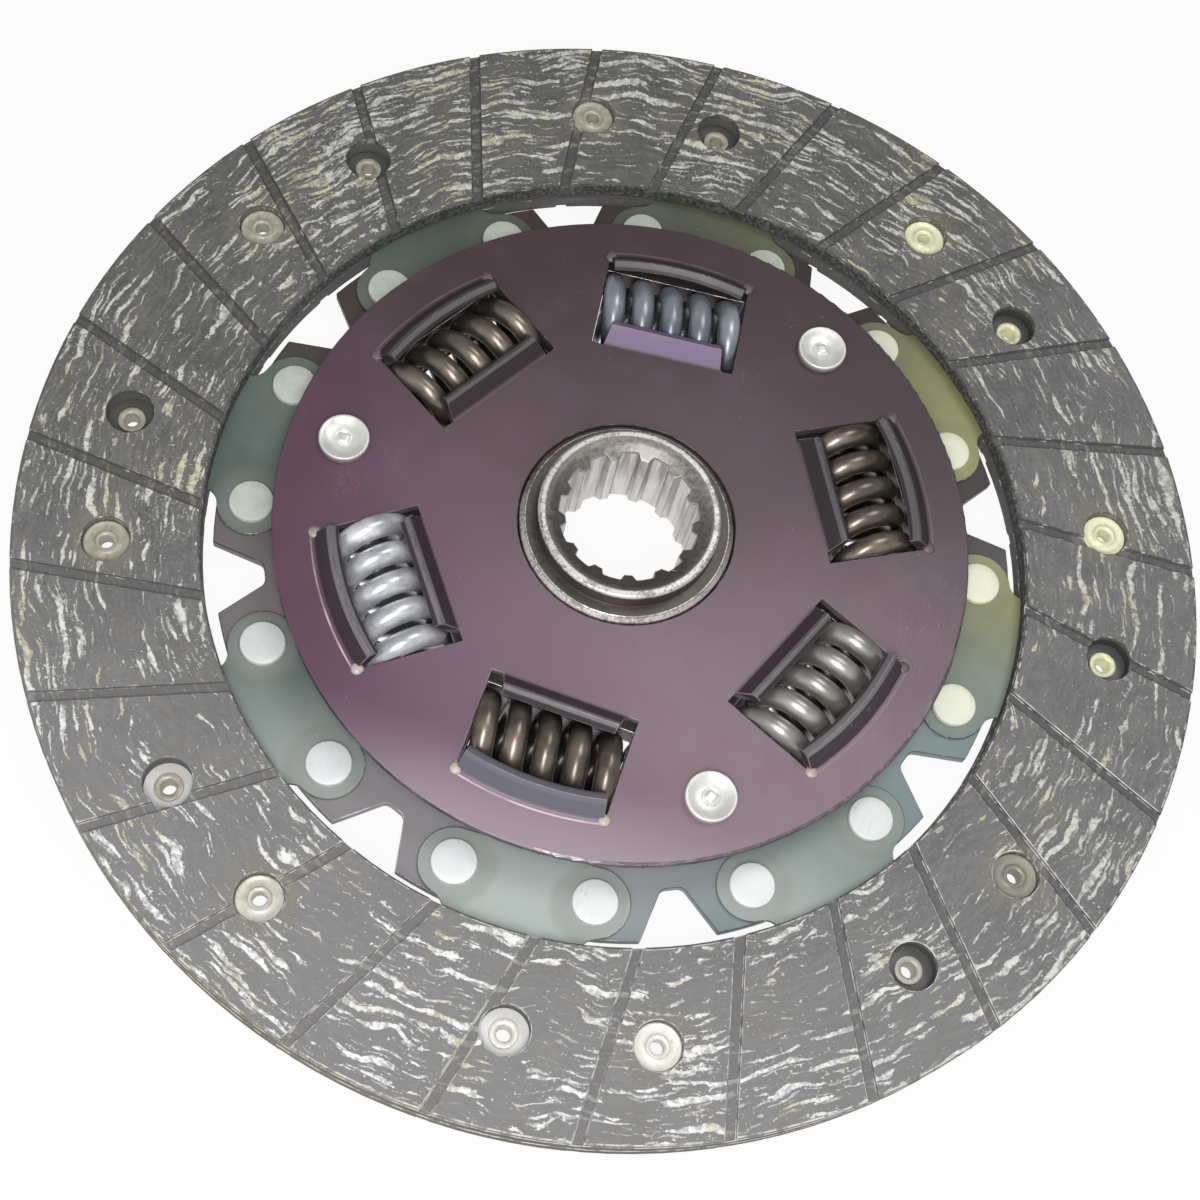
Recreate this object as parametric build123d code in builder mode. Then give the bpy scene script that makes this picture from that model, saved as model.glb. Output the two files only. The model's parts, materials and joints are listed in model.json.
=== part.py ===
from build123d import *
import os
from math import cos, degrees, radians, sin, sqrt

# Clutch driven disc for a dry single-plate clutch, with a spring torsion damper.
# Frame: +Z along the shaft axis towards the retaining plate, origin on the axis
# in the middle plane between the two facings.  Sizes in millimetres and degrees.

os.makedirs("parts", exist_ok=True)

# ---------------------------------------------------------------- driving sizes

# Friction facings
facing_outer_radius = 107.5
facing_inner_radius = 75.0
facing_thickness = 3.5
facing_edge_break = 0.4
groove_count = 27
groove_width = 1.9
groove_depth = 0.9
groove_offset = 25.0            # how far each straight groove runs beside the axis
groove_start_angle = -13.0

# Cushion segments
segment_count = 8
segment_sheet = 0.7
cushion_rise = 0.3              # how far the raised arms stand above the root
segment_neck_half_width = 12.1
segment_ear_radius = 6.2
segment_ear_fillet = 3.0
paddle_inner_cover = 1.5        # facing left inside the paddle's inner edge
paddle_outer_setback = 2.5      # paddle's outer edge inside the facing's rim
segment_paddle_angle = 43.0
segment_paddle_centre_angle = 10.1
segment_paddle_corner = 5.0
cushion_bend_run = 4.0          # tangential length of the bend up to a raised arm
cushion_bend_margin = 0.9       # flat left beside the neck before the bend starts

# Rivets that hold the segments on the disc plate
segment_rivet_edge = 6.2        # from their circle to the disc plate's edge
segment_rivet_half_angle = 10.7
segment_rivet_shank_radius = 2.6
segment_rivet_head_radius = 4.0
segment_rivet_head_height = 0.9
segment_rivet_tail_radius = 3.6
segment_rivet_tail_height = 0.9

# Tubular rivets that hold the facings on the segments
front_rivet_angle = 18.1        # from the middle of its segment
rear_rivet_angle = 2.2
facing_rivet_shank_radius = 2.0
facing_rivet_bore_radius = 1.2
facing_rivet_head_radius = 3.7
facing_rivet_head_height = 0.7
facing_rivet_tail_radius = 2.9
facing_rivet_tail_height = 0.6
facing_rivet_floor = 1.6        # facing left under a rivet's head
facing_rivet_well_radius = 4.2  # counterbore, and clearance hole over a tail

# Disc plate and retaining plate
plate_sheet = 2.0
disc_plate_gap = 1.9            # from the disc plate's edge to the facings' bore
retaining_plate_rim = 7.4       # beyond the windows' outer arc
plate_edge_break = 0.3
notch_depth = 8.9
notch_floor_half_width = 1.9
notch_mouth_half_width = 7.6
notch_fillet = 1.6
notch_overrun = 1.0             # cut carried past the plate's edge

# Damper springs and their windows
spring_circle_radius = 44.25
spring_coil_radius = 6.1        # to the middle of the wire
spring_wire_radius = 2.1
spring_pitch = 5.5
window_length = 26.6
spring_end_clearance = 0.15
spring_side_clearance = 0.3
window_inner_clearance = 1.35   # from the coil to the window's straight edge
window_outer_clearance = 2.65   # from the coil to the window's outer arc
window_pair_half_angle = 33.5   # from a stop pin to the middle of a window
window_relief_radius = 1.1
inner_lip_length = 4.2
inner_lip_bend = 45.0
inner_lip_setback = 2.1         # lip's ends inside the window's ends
inner_lip_taper = 1.5           # each end drawn in further at the free edge
outer_lip_length = 4.1
outer_lip_bend = 50.0
lip_bend_radius = 1.0

# Stop pins
stop_pin_count = 3
stop_pin_first_angle = 60.0
stop_pin_inset = 5.1            # from the hub flange's edge to their circle
stop_pin_radius = 4.0
stop_pin_tenon_radius = 3.0
stop_pin_head_radius = 4.5
stop_pin_head_height = 1.7
stop_pin_head_break = 0.4
stop_pin_dimple_radius = 1.7
stop_pin_dimple_depth = 0.4
stop_pin_nub_radius = 0.9

# Hub
spline_teeth = 13
spline_major_radius = 12.5
spline_tooth_height = 1.2
spline_mouth_half_width = 1.95
spline_floor_half_width = 1.2
spline_overrun = 1.0            # cut carried past the spline's two circles
spline_first_space_angle = 20.6
hub_wall = 3.85                 # boss outside the spline
hub_boss_edge_break = 0.4
hub_collar_step = 2.9
hub_collar_edge_break = 0.9
hub_collar_proud = 0.7          # collar above the retaining plate
hub_front_length = 14.05        # front end face above the origin
hub_rear_length = 5.5           # rear end face below the origin
hub_end_ring_width = 1.35       # end face left outside the lead-in chamfer
hub_mouth_depth = 1.7
hub_rear_mouth_width = 1.0      # rear lead-in chamfer outside the spline
hub_rear_mouth_depth = 1.2
hub_flange_thickness = 4.5
hub_flange_rim = 4.75           # flange outside its spring windows
twist_limit = 6.0               # hub against the plates, each way
stop_clearance = 0.15
notch_root_clearance = 0.5
notch_root_fillet = 2.5

# Friction pack between the plates
rear_friction_thickness = 1.8
front_friction_thickness = 1.0
friction_washer_width = 11.4
spring_washer_height = 0.8
spring_washer_sheet = 0.5
spring_washer_width = 9.4

# Clearances
rivet_hole_clearance = 0.1
hub_running_clearance = 0.35

same_place = 0.01               # how near a corner lies to the line it is picked by

# ---------------------------------------------------------------- worked out

cushion_gap = segment_sheet + cushion_rise
front_facing_base = cushion_gap / 2
rear_facing_base = -cushion_gap / 2
segment_root_rear = rear_facing_base
segment_root_front = segment_root_rear + segment_sheet
raised_arm_rear = segment_root_rear + cushion_rise
paddle_inner_radius = facing_inner_radius + paddle_inner_cover
paddle_outer_radius = facing_outer_radius - paddle_outer_setback
facing_rivet_circle_radius = (facing_inner_radius + facing_outer_radius) / 2
segment_step = 360 / segment_count

disc_plate_radius = facing_inner_radius - disc_plate_gap
notch_floor_radius = disc_plate_radius - notch_depth
segment_rivet_circle_radius = disc_plate_radius - segment_rivet_edge

disc_plate_front = segment_root_rear
disc_plate_rear = disc_plate_front - plate_sheet
flange_rear = disc_plate_front + rear_friction_thickness
flange_front = flange_rear + hub_flange_thickness
front_friction_front = flange_front + front_friction_thickness
retaining_plate_rear = front_friction_front + spring_washer_height
retaining_plate_front = retaining_plate_rear + plate_sheet
damper_middle = (disc_plate_front + retaining_plate_rear) / 2
damper_plane = Plane.XY.offset(damper_middle)

spring_outer_radius = spring_coil_radius + spring_wire_radius
window_inner_edge = spring_circle_radius - spring_outer_radius - window_inner_clearance
window_outer_radius = spring_circle_radius + spring_outer_radius + window_outer_clearance
window_reach = window_outer_radius + plate_sheet
retaining_plate_radius = window_outer_radius + retaining_plate_rim
inner_lip_base_half_length = window_length / 2 - inner_lip_setback
inner_lip_tip_half_length = inner_lip_base_half_length - inner_lip_taper

spline_minor_radius = spline_major_radius - spline_tooth_height
hub_boss_radius = spline_major_radius + hub_wall
hub_mouth_radius = hub_boss_radius - hub_end_ring_width
hub_rear_mouth_radius = spline_major_radius + hub_rear_mouth_width
hub_collar_radius = hub_boss_radius + hub_collar_step
hub_bore_clear_radius = hub_collar_radius + hub_running_clearance
flange_window_half_width = spring_outer_radius + spring_side_clearance
hub_flange_radius = spring_circle_radius + flange_window_half_width + hub_flange_rim
stop_pin_circle_radius = hub_flange_radius - stop_pin_inset
friction_washer_radius = hub_bore_clear_radius + friction_washer_width
spring_washer_radius = hub_bore_clear_radius + spring_washer_width

pin_step = 360 / stop_pin_count
window_angles = [
    stop_pin_first_angle + pin_step * pin + side * window_pair_half_angle
    for pin in range(stop_pin_count)
    for side in (-1, 1)
]


def save(part, name):
    part.label = name
    export_step(part, "parts/" + name + ".step")


# ---------------------------------------------------------------- facings


def friction_facing(base, outward, own_rivet_angle, other_rivet_angle):
    """A grooved ring from its seat on the segments outwards along Z."""
    face = base + outward * facing_thickness
    well_depth = facing_thickness - facing_rivet_floor
    groove_length = 2 * (facing_outer_radius - facing_inner_radius) + groove_offset
    face_plane = Plane((0, 0, face), x_dir=(1, 0, 0), z_dir=(0, 0, 1))
    with BuildPart() as facing:
        with BuildSketch(Plane.XY.offset(base)):
            Circle(facing_outer_radius)
            Circle(facing_inner_radius, mode=Mode.SUBTRACT)
        extrude(amount=outward * facing_thickness)
        worn_edges = facing.edges().filter_by(GeomType.CIRCLE).filter_by(
            lambda edge: abs(edge.center().Z - face) < facing_thickness / 2
        )
        chamfer(worn_edges, facing_edge_break)
        # Straight grooves that pass beside the axis, so they lean on the ring
        with BuildSketch(face_plane):
            with PolarLocations(0, groove_count, start_angle=groove_start_angle):
                with Locations((facing_outer_radius, groove_offset)):
                    Rectangle(groove_length, groove_width)
        extrude(amount=-outward * groove_depth, mode=Mode.SUBTRACT)
        # Counterbores for this facing's own rivets
        with BuildSketch(face_plane):
            with PolarLocations(facing_rivet_circle_radius, segment_count, start_angle=own_rivet_angle):
                Circle(facing_rivet_well_radius)
        extrude(amount=-outward * well_depth, mode=Mode.SUBTRACT)
        with BuildSketch(face_plane):
            with PolarLocations(facing_rivet_circle_radius, segment_count, start_angle=own_rivet_angle):
                Circle(facing_rivet_shank_radius + rivet_hole_clearance)
            with PolarLocations(facing_rivet_circle_radius, segment_count, start_angle=other_rivet_angle):
                Circle(facing_rivet_well_radius)
        extrude(amount=-outward * facing_thickness, mode=Mode.SUBTRACT)
    return facing.part


save(friction_facing(front_facing_base, 1, front_rivet_angle, rear_rivet_angle), "front_facing")
save(friction_facing(rear_facing_base, -1, rear_rivet_angle, front_rivet_angle), "rear_facing")

# ---------------------------------------------------------------- cushion segments

ear_x = segment_rivet_circle_radius * cos(radians(segment_rivet_half_angle))
ear_y = segment_rivet_circle_radius * sin(radians(segment_rivet_half_angle))
segment_inner_edge = ear_x - segment_ear_radius
paddle_half_angle = segment_paddle_angle / 2
bend_start = segment_neck_half_width + cushion_bend_margin
bend_end = bend_start + cushion_bend_run
sheet_reach = facing_outer_radius

with BuildPart() as cushion_segment:
    # Wide paddle that lies between the facings
    with BuildSketch(Plane.XY.offset(segment_root_rear)) as paddle_pattern:
        with BuildLine():
            outer = CenterArc(
                (0, 0), paddle_outer_radius,
                segment_paddle_centre_angle - paddle_half_angle, segment_paddle_angle,
            )
            inner = CenterArc(
                (0, 0), paddle_inner_radius,
                segment_paddle_centre_angle - paddle_half_angle, segment_paddle_angle,
            )
            Line(outer @ 0, inner @ 0)
            Line(outer @ 1, inner @ 1)
        make_face()
        fillet(paddle_pattern.vertices(), segment_paddle_corner)
    extrude(amount=cushion_gap)
    # Side view of the paddle: flat in line with the neck, both arms bent up
    with BuildSketch(Plane.YZ):
        Polygon(
            (-sheet_reach, raised_arm_rear),
            (-bend_end, raised_arm_rear),
            (-bend_start, segment_root_rear),
            (bend_start, segment_root_rear),
            (bend_end, raised_arm_rear),
            (sheet_reach, raised_arm_rear),
            (sheet_reach, raised_arm_rear + segment_sheet),
            (bend_end, raised_arm_rear + segment_sheet),
            (bend_start, segment_root_front),
            (-bend_start, segment_root_front),
            (-bend_end, raised_arm_rear + segment_sheet),
            (-sheet_reach, raised_arm_rear + segment_sheet),
            align=None,
        )
    extrude(amount=sheet_reach, mode=Mode.INTERSECT)
    # Flat root: two rivet ears and the neck, which runs on into the paddle
    neck_end = paddle_inner_radius + 2 * segment_paddle_corner
    with BuildSketch(Plane.XY.offset(segment_root_rear)) as root_pattern:
        with Locations((ear_x, ear_y), (ear_x, -ear_y)):
            Circle(segment_ear_radius)
        with Locations(((segment_inner_edge + neck_end) / 2, 0)):
            Rectangle(neck_end - segment_inner_edge, 2 * segment_neck_half_width)
        neck_corners = root_pattern.vertices().filter_by(
            lambda v: abs(abs(v.Y) - segment_neck_half_width) < same_place
        )
        ear_corners = neck_corners.filter_by(lambda v: ear_x < v.X < neck_end - same_place)
        fillet(ear_corners, segment_ear_fillet)
    extrude(amount=segment_sheet)
    with BuildSketch(Plane.XY.offset(segment_root_rear)):
        with Locations((ear_x, ear_y), (ear_x, -ear_y)):
            Circle(segment_rivet_shank_radius + rivet_hole_clearance)
        for rivet_angle in (front_rivet_angle, rear_rivet_angle):
            with PolarLocations(facing_rivet_circle_radius, 1, start_angle=rivet_angle):
                Circle(facing_rivet_shank_radius + rivet_hole_clearance)
    extrude(amount=cushion_gap, mode=Mode.SUBTRACT)

for number in range(segment_count):
    turned = cushion_segment.part.rotate(Axis.Z, segment_step * number)
    save(turned, f"cushion_segment_{number + 1}")

# ---------------------------------------------------------------- rivets

with BuildPart() as segment_rivets:
    for side in (-1, 1):
        first = side * segment_rivet_half_angle
        with BuildSketch(Plane.XY.offset(disc_plate_rear)):
            with PolarLocations(segment_rivet_circle_radius, segment_count, start_angle=first):
                Circle(segment_rivet_shank_radius)
        extrude(amount=segment_root_front - disc_plate_rear)
        with BuildSketch(Plane.XY.offset(segment_root_front)):
            with PolarLocations(segment_rivet_circle_radius, segment_count, start_angle=first):
                Circle(segment_rivet_head_radius)
        extrude(amount=segment_rivet_head_height)
        with BuildSketch(Plane.XY.offset(disc_plate_rear)):
            with PolarLocations(segment_rivet_circle_radius, segment_count, start_angle=first):
                Circle(segment_rivet_tail_radius)
        extrude(amount=-segment_rivet_tail_height)
save(segment_rivets.part, "segment_rivets")


def facing_rivets(floor_outer, sheet_far, outward, first_angle):
    """Tubular rivets: flat head on the facing's floor, tail rolled over the sheet."""
    head_top = floor_outer + outward * facing_rivet_head_height
    tail_end = sheet_far - outward * facing_rivet_tail_height
    with BuildPart() as rivets:
        with BuildSketch(Plane.XY.offset(floor_outer)):
            with PolarLocations(facing_rivet_circle_radius, segment_count, start_angle=first_angle):
                Circle(facing_rivet_head_radius)
        extrude(amount=head_top - floor_outer)
        with BuildSketch(Plane.XY.offset(floor_outer)):
            with PolarLocations(facing_rivet_circle_radius, segment_count, start_angle=first_angle):
                Circle(facing_rivet_shank_radius)
        extrude(amount=tail_end - floor_outer)
        with BuildSketch(Plane.XY.offset(sheet_far)):
            with PolarLocations(facing_rivet_circle_radius, segment_count, start_angle=first_angle):
                Circle(facing_rivet_tail_radius)
        extrude(amount=tail_end - sheet_far)
        with BuildSketch(Plane.XY.offset(head_top)):
            with PolarLocations(facing_rivet_circle_radius, segment_count, start_angle=first_angle):
                Circle(facing_rivet_bore_radius)
        extrude(amount=tail_end - head_top, mode=Mode.SUBTRACT)
    return rivets.part


save(
    facing_rivets(front_facing_base + facing_rivet_floor, raised_arm_rear, 1, front_rivet_angle),
    "front_facing_rivets",
)
save(
    facing_rivets(rear_facing_base - facing_rivet_floor, segment_root_front, -1, rear_rivet_angle),
    "rear_facing_rivets",
)

# ---------------------------------------------------------------- window lips


def lip_profile(plane, fold, inward, length, bend):
    """Section of a bent sheet lip on the retaining plate, in a plane along Z."""
    along = (inward * cos(radians(bend)), sin(radians(bend)))
    across = (inward * sin(radians(bend)), -cos(radians(bend)))
    mitre = plate_sheet * sin(radians(bend)) / (1 + cos(radians(bend)))
    root = fold - inward * plate_sheet
    tip = (fold + along[0] * length, retaining_plate_front + along[1] * length)
    under_tip = (tip[0] + across[0] * plate_sheet, tip[1] + across[1] * plate_sheet)
    with BuildSketch(plane) as profile:
        Polygon(
            (root, retaining_plate_front),
            (fold, retaining_plate_front),
            tip,
            under_tip,
            (fold + inward * mitre, retaining_plate_rear),
            (root, retaining_plate_rear),
            align=None,
        )
        top_bend = profile.vertices().sort_by_distance((fold, retaining_plate_front))[0]
        fillet(top_bend, lip_bend_radius)
        under = (fold + inward * mitre, retaining_plate_rear)
        under_bend = profile.vertices().sort_by_distance(under)[0]
        fillet(under_bend, lip_bend_radius + plate_sheet)
    return profile.sketch


lip_reach = inner_lip_length + plate_sheet
lip_side = Plane.XZ.offset(-inner_lip_base_half_length)
with BuildPart() as inner_lip:
    lip_section = lip_profile(lip_side, window_inner_edge, 1, inner_lip_length, inner_lip_bend)
    extrude(lip_section, amount=2 * inner_lip_base_half_length)
    # The lip narrows towards its free edge
    with BuildSketch(Plane.XY.offset(retaining_plate_rear)) as lip_outline:
        Polygon(
            (window_inner_edge - plate_sheet, -inner_lip_base_half_length),
            (window_inner_edge, -inner_lip_base_half_length),
            (window_inner_edge + lip_reach, -inner_lip_tip_half_length),
            (window_inner_edge + lip_reach, inner_lip_tip_half_length),
            (window_inner_edge, inner_lip_base_half_length),
            (window_inner_edge - plate_sheet, inner_lip_base_half_length),
            align=None,
        )
    extrude(lip_outline.sketch, amount=plate_sheet + lip_reach, mode=Mode.INTERSECT)

outer_lip_half_angle = degrees(window_length / 2 / window_outer_radius)
with BuildPart() as outer_lip:
    outer_section = lip_profile(
        Plane.XZ, window_outer_radius, -1, outer_lip_length, outer_lip_bend
    )
    revolve(outer_section, axis=Axis.Z, revolution_arc=2 * outer_lip_half_angle)

window_depth = window_reach - window_inner_edge
with BuildPart() as plate_cuts:
    # Windows with corner reliefs, and the stop pins' holes, through one sheet
    with BuildSketch():
        for angle in window_angles:
            with PolarLocations(window_inner_edge + window_depth / 2, 1, start_angle=angle):
                Rectangle(window_depth, window_length)
        Circle(window_outer_radius, mode=Mode.INTERSECT)
        for angle in window_angles:
            for side in (-1, 1):
                corner = angle + side * outer_lip_half_angle
                with PolarLocations(window_outer_radius, 1, start_angle=corner):
                    Circle(window_relief_radius)
        with PolarLocations(stop_pin_circle_radius, stop_pin_count, start_angle=stop_pin_first_angle):
            Circle(stop_pin_tenon_radius + rivet_hole_clearance)
    extrude(amount=plate_sheet)

# ---------------------------------------------------------------- plates

with BuildPart() as retaining_plate:
    with BuildSketch(Plane.XY.offset(retaining_plate_rear)):
        Circle(retaining_plate_radius)
        Circle(hub_bore_clear_radius, mode=Mode.SUBTRACT)
    extrude(amount=plate_sheet)
    rim = retaining_plate.edges().filter_by(GeomType.CIRCLE).sort_by(SortBy.RADIUS)[-2:]
    fillet(rim, plate_edge_break)
    add(plate_cuts.part.translate((0, 0, retaining_plate_rear)), mode=Mode.SUBTRACT)
    for angle in window_angles:
        add(inner_lip.part, rotation=(0, 0, angle))
        add(outer_lip.part, rotation=(0, 0, angle - outer_lip_half_angle))
save(retaining_plate.part, "retaining_plate")

rear_inner_lip = inner_lip.part.mirror(damper_plane)
rear_outer_lip = outer_lip.part.mirror(damper_plane)

with BuildPart() as disc_plate:
    with BuildSketch(Plane.XY.offset(disc_plate_rear)) as disc_outline:
        Circle(disc_plate_radius)
        # V notches between the segments
        with PolarLocations(0, segment_count, start_angle=segment_step / 2):
            Polygon(
                (notch_floor_radius, -notch_floor_half_width),
                (notch_floor_radius, notch_floor_half_width),
                (disc_plate_radius + notch_overrun, notch_mouth_half_width),
                (disc_plate_radius + notch_overrun, -notch_mouth_half_width),
                align=None,
                mode=Mode.SUBTRACT,
            )
        notch_roots = disc_outline.vertices().filter_by(
            lambda v: sqrt(v.X**2 + v.Y**2) < (notch_floor_radius + disc_plate_radius) / 2
        )
        fillet(notch_roots, notch_fillet)
        Circle(hub_bore_clear_radius, mode=Mode.SUBTRACT)
    extrude(amount=plate_sheet)
    add(plate_cuts.part.translate((0, 0, disc_plate_rear)), mode=Mode.SUBTRACT)
    with BuildSketch(Plane.XY.offset(disc_plate_rear)):
        for side in (-1, 1):
            first = side * segment_rivet_half_angle
            with PolarLocations(segment_rivet_circle_radius, segment_count, start_angle=first):
                Circle(segment_rivet_shank_radius + rivet_hole_clearance)
    extrude(amount=plate_sheet, mode=Mode.SUBTRACT)
    for angle in window_angles:
        add(rear_inner_lip, rotation=(0, 0, angle))
        add(rear_outer_lip, rotation=(0, 0, angle - outer_lip_half_angle))
save(disc_plate.part, "disc_plate")

# ---------------------------------------------------------------- stop pins

pin_front = retaining_plate_front + stop_pin_head_height
pin_rear = disc_plate_rear - stop_pin_head_height
with BuildPart() as stop_pin:
    # Half section: shouldered spacer with riveted heads over both plates
    with BuildSketch(Plane.XZ):
        Polygon(
            (0, pin_rear),
            (stop_pin_head_radius - stop_pin_head_break, pin_rear),
            (stop_pin_head_radius, pin_rear + stop_pin_head_break),
            (stop_pin_head_radius, disc_plate_rear),
            (stop_pin_tenon_radius, disc_plate_rear),
            (stop_pin_tenon_radius, disc_plate_front),
            (stop_pin_radius, disc_plate_front),
            (stop_pin_radius, retaining_plate_rear),
            (stop_pin_tenon_radius, retaining_plate_rear),
            (stop_pin_tenon_radius, retaining_plate_front),
            (stop_pin_head_radius, retaining_plate_front),
            (stop_pin_head_radius, pin_front - stop_pin_head_break),
            (stop_pin_head_radius - stop_pin_head_break, pin_front),
            (stop_pin_dimple_radius, pin_front),
            (stop_pin_nub_radius, pin_front - stop_pin_dimple_depth),
            (stop_pin_nub_radius, pin_front),
            (0, pin_front),
            align=None,
        )
    revolve(axis=Axis.Z)
for number in range(stop_pin_count):
    pin_angle = stop_pin_first_angle + pin_step * number
    placed = stop_pin.part.translate((stop_pin_circle_radius, 0, 0)).rotate(Axis.Z, pin_angle)
    save(placed, f"stop_pin_{number + 1}")

# ---------------------------------------------------------------- hub

collar_front = retaining_plate_front + hub_collar_proud
collar_rear = disc_plate_rear - hub_collar_proud
hub_rear = -hub_rear_length
stop_swing = stop_pin_circle_radius * sin(radians(twist_limit))
stop_notch_half_width = stop_swing + stop_pin_radius + stop_clearance
stop_notch_root = (
    stop_pin_circle_radius * cos(radians(twist_limit)) - stop_pin_radius - notch_root_clearance
)

with BuildPart() as hub:
    with BuildSketch(Plane.XZ):
        Polygon(
            (spline_minor_radius, hub_rear + hub_rear_mouth_depth),
            (hub_rear_mouth_radius, hub_rear),
            (hub_boss_radius - hub_boss_edge_break, hub_rear),
            (hub_boss_radius, hub_rear + hub_boss_edge_break),
            (hub_boss_radius, collar_rear),
            (hub_collar_radius - hub_collar_edge_break, collar_rear),
            (hub_collar_radius, collar_rear + hub_collar_edge_break),
            (hub_collar_radius, flange_rear),
            (hub_flange_radius, flange_rear),
            (hub_flange_radius, flange_front),
            (hub_collar_radius, flange_front),
            (hub_collar_radius, collar_front - hub_collar_edge_break),
            (hub_collar_radius - hub_collar_edge_break, collar_front),
            (hub_boss_radius, collar_front),
            (hub_boss_radius, hub_front_length - hub_boss_edge_break),
            (hub_boss_radius - hub_boss_edge_break, hub_front_length),
            (hub_mouth_radius, hub_front_length),
            (spline_minor_radius, hub_front_length - hub_mouth_depth),
            align=None,
        )
    revolve(axis=Axis.Z)
    # Spline spaces between the internal teeth
    with BuildSketch(Plane.XY.offset(hub_rear)):
        with PolarLocations(0, spline_teeth, start_angle=spline_first_space_angle):
            Polygon(
                (spline_minor_radius - spline_overrun, spline_mouth_half_width),
                (spline_minor_radius, spline_mouth_half_width),
                (spline_major_radius + spline_overrun, spline_floor_half_width),
                (spline_major_radius + spline_overrun, -spline_floor_half_width),
                (spline_minor_radius, -spline_mouth_half_width),
                (spline_minor_radius - spline_overrun, -spline_mouth_half_width),
                align=None,
            )
        Circle(spline_major_radius, mode=Mode.INTERSECT)
    extrude(amount=hub_rear_length + hub_front_length, mode=Mode.SUBTRACT)
    # Spring windows and stop-pin notches in the flange
    with BuildSketch(Plane.XY.offset(flange_rear)):
        for angle in window_angles:
            with PolarLocations(spring_circle_radius, 1, start_angle=angle):
                Rectangle(2 * flange_window_half_width, window_length)
    extrude(amount=hub_flange_thickness, mode=Mode.SUBTRACT)
    notch_length = 2 * (hub_flange_radius - stop_notch_root)
    with BuildSketch(Plane.XY.offset(flange_rear)):
        with PolarLocations(hub_flange_radius, stop_pin_count, start_angle=stop_pin_first_angle):
            RectangleRounded(notch_length, 2 * stop_notch_half_width, notch_root_fillet)
    extrude(amount=hub_flange_thickness, mode=Mode.SUBTRACT)
save(hub.part, "hub")

# ---------------------------------------------------------------- friction pack

with BuildPart() as rear_friction_washer:
    with BuildSketch(Plane.XY.offset(disc_plate_front)):
        Circle(friction_washer_radius)
        Circle(hub_bore_clear_radius, mode=Mode.SUBTRACT)
    extrude(amount=rear_friction_thickness)
save(rear_friction_washer.part, "rear_friction_washer")

with BuildPart() as front_friction_washer:
    with BuildSketch(Plane.XY.offset(flange_front)):
        Circle(friction_washer_radius)
        Circle(hub_bore_clear_radius, mode=Mode.SUBTRACT)
    extrude(amount=front_friction_thickness)
save(front_friction_washer.part, "front_friction_washer")

with BuildPart() as spring_washer:
    # Coned sheet that presses the friction washers against the flange
    with BuildSketch(Plane.XZ):
        Polygon(
            (hub_bore_clear_radius, retaining_plate_rear - spring_washer_sheet),
            (spring_washer_radius, front_friction_front),
            (spring_washer_radius, front_friction_front + spring_washer_sheet),
            (hub_bore_clear_radius, retaining_plate_rear),
            align=None,
        )
    revolve(axis=Axis.Z)
save(spring_washer.part, "spring_washer")

# ---------------------------------------------------------------- damper springs

spring_length = window_length - 2 * spring_end_clearance
coil_height = spring_length + 2 * spring_wire_radius

with BuildPart() as damper_spring:
    # Round wire on a helix, with both ends ground flat and square
    with BuildLine() as coil_line:
        Helix(pitch=spring_pitch, height=coil_height, radius=spring_coil_radius)
    with BuildSketch(Plane(origin=coil_line.line @ 0, z_dir=coil_line.line % 0)):
        Circle(spring_wire_radius)
    sweep(path=coil_line.line, is_frenet=True)
    lower_end = Plane.XY.offset(spring_wire_radius)
    upper_end = Plane.XY.offset(spring_wire_radius + spring_length)
    split(bisect_by=lower_end, keep=Keep.TOP)
    split(bisect_by=upper_end, keep=Keep.BOTTOM)

centred_spring = damper_spring.part.translate((0, 0, -coil_height / 2))
for number, angle in enumerate(window_angles):
    seat = Plane(
        origin=(
            spring_circle_radius * cos(radians(angle)),
            spring_circle_radius * sin(radians(angle)),
            damper_middle,
        ),
        x_dir=(cos(radians(angle)), sin(radians(angle)), 0),
        z_dir=(-sin(radians(angle)), cos(radians(angle)), 0),
    )
    save(centred_spring.moved(Location(seat)), f"damper_spring_{number + 1}")
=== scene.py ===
import json
from math import cos, pi, radians, sin

import bpy
from mathutils import Matrix, Vector

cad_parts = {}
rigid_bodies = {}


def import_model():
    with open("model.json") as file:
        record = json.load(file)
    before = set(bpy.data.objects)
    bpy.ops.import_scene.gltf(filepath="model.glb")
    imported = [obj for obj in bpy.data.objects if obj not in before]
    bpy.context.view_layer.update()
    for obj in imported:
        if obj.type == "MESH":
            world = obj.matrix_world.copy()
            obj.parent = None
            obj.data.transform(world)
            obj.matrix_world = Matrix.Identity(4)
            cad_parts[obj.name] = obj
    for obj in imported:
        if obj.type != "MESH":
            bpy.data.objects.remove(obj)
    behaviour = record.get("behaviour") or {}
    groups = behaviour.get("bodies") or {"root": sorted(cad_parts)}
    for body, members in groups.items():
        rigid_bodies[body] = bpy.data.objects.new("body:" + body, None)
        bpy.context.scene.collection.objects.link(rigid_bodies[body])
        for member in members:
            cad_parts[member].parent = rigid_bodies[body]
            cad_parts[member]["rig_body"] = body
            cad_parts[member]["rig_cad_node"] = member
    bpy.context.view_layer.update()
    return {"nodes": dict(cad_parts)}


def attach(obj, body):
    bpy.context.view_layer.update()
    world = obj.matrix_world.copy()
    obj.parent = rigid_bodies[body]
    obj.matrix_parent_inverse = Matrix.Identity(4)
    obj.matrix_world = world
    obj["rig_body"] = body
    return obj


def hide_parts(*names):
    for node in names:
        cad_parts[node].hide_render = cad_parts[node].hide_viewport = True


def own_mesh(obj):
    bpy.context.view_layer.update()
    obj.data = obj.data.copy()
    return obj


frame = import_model()

# ---------------------------------------------------------------- sizes, in metres

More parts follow.
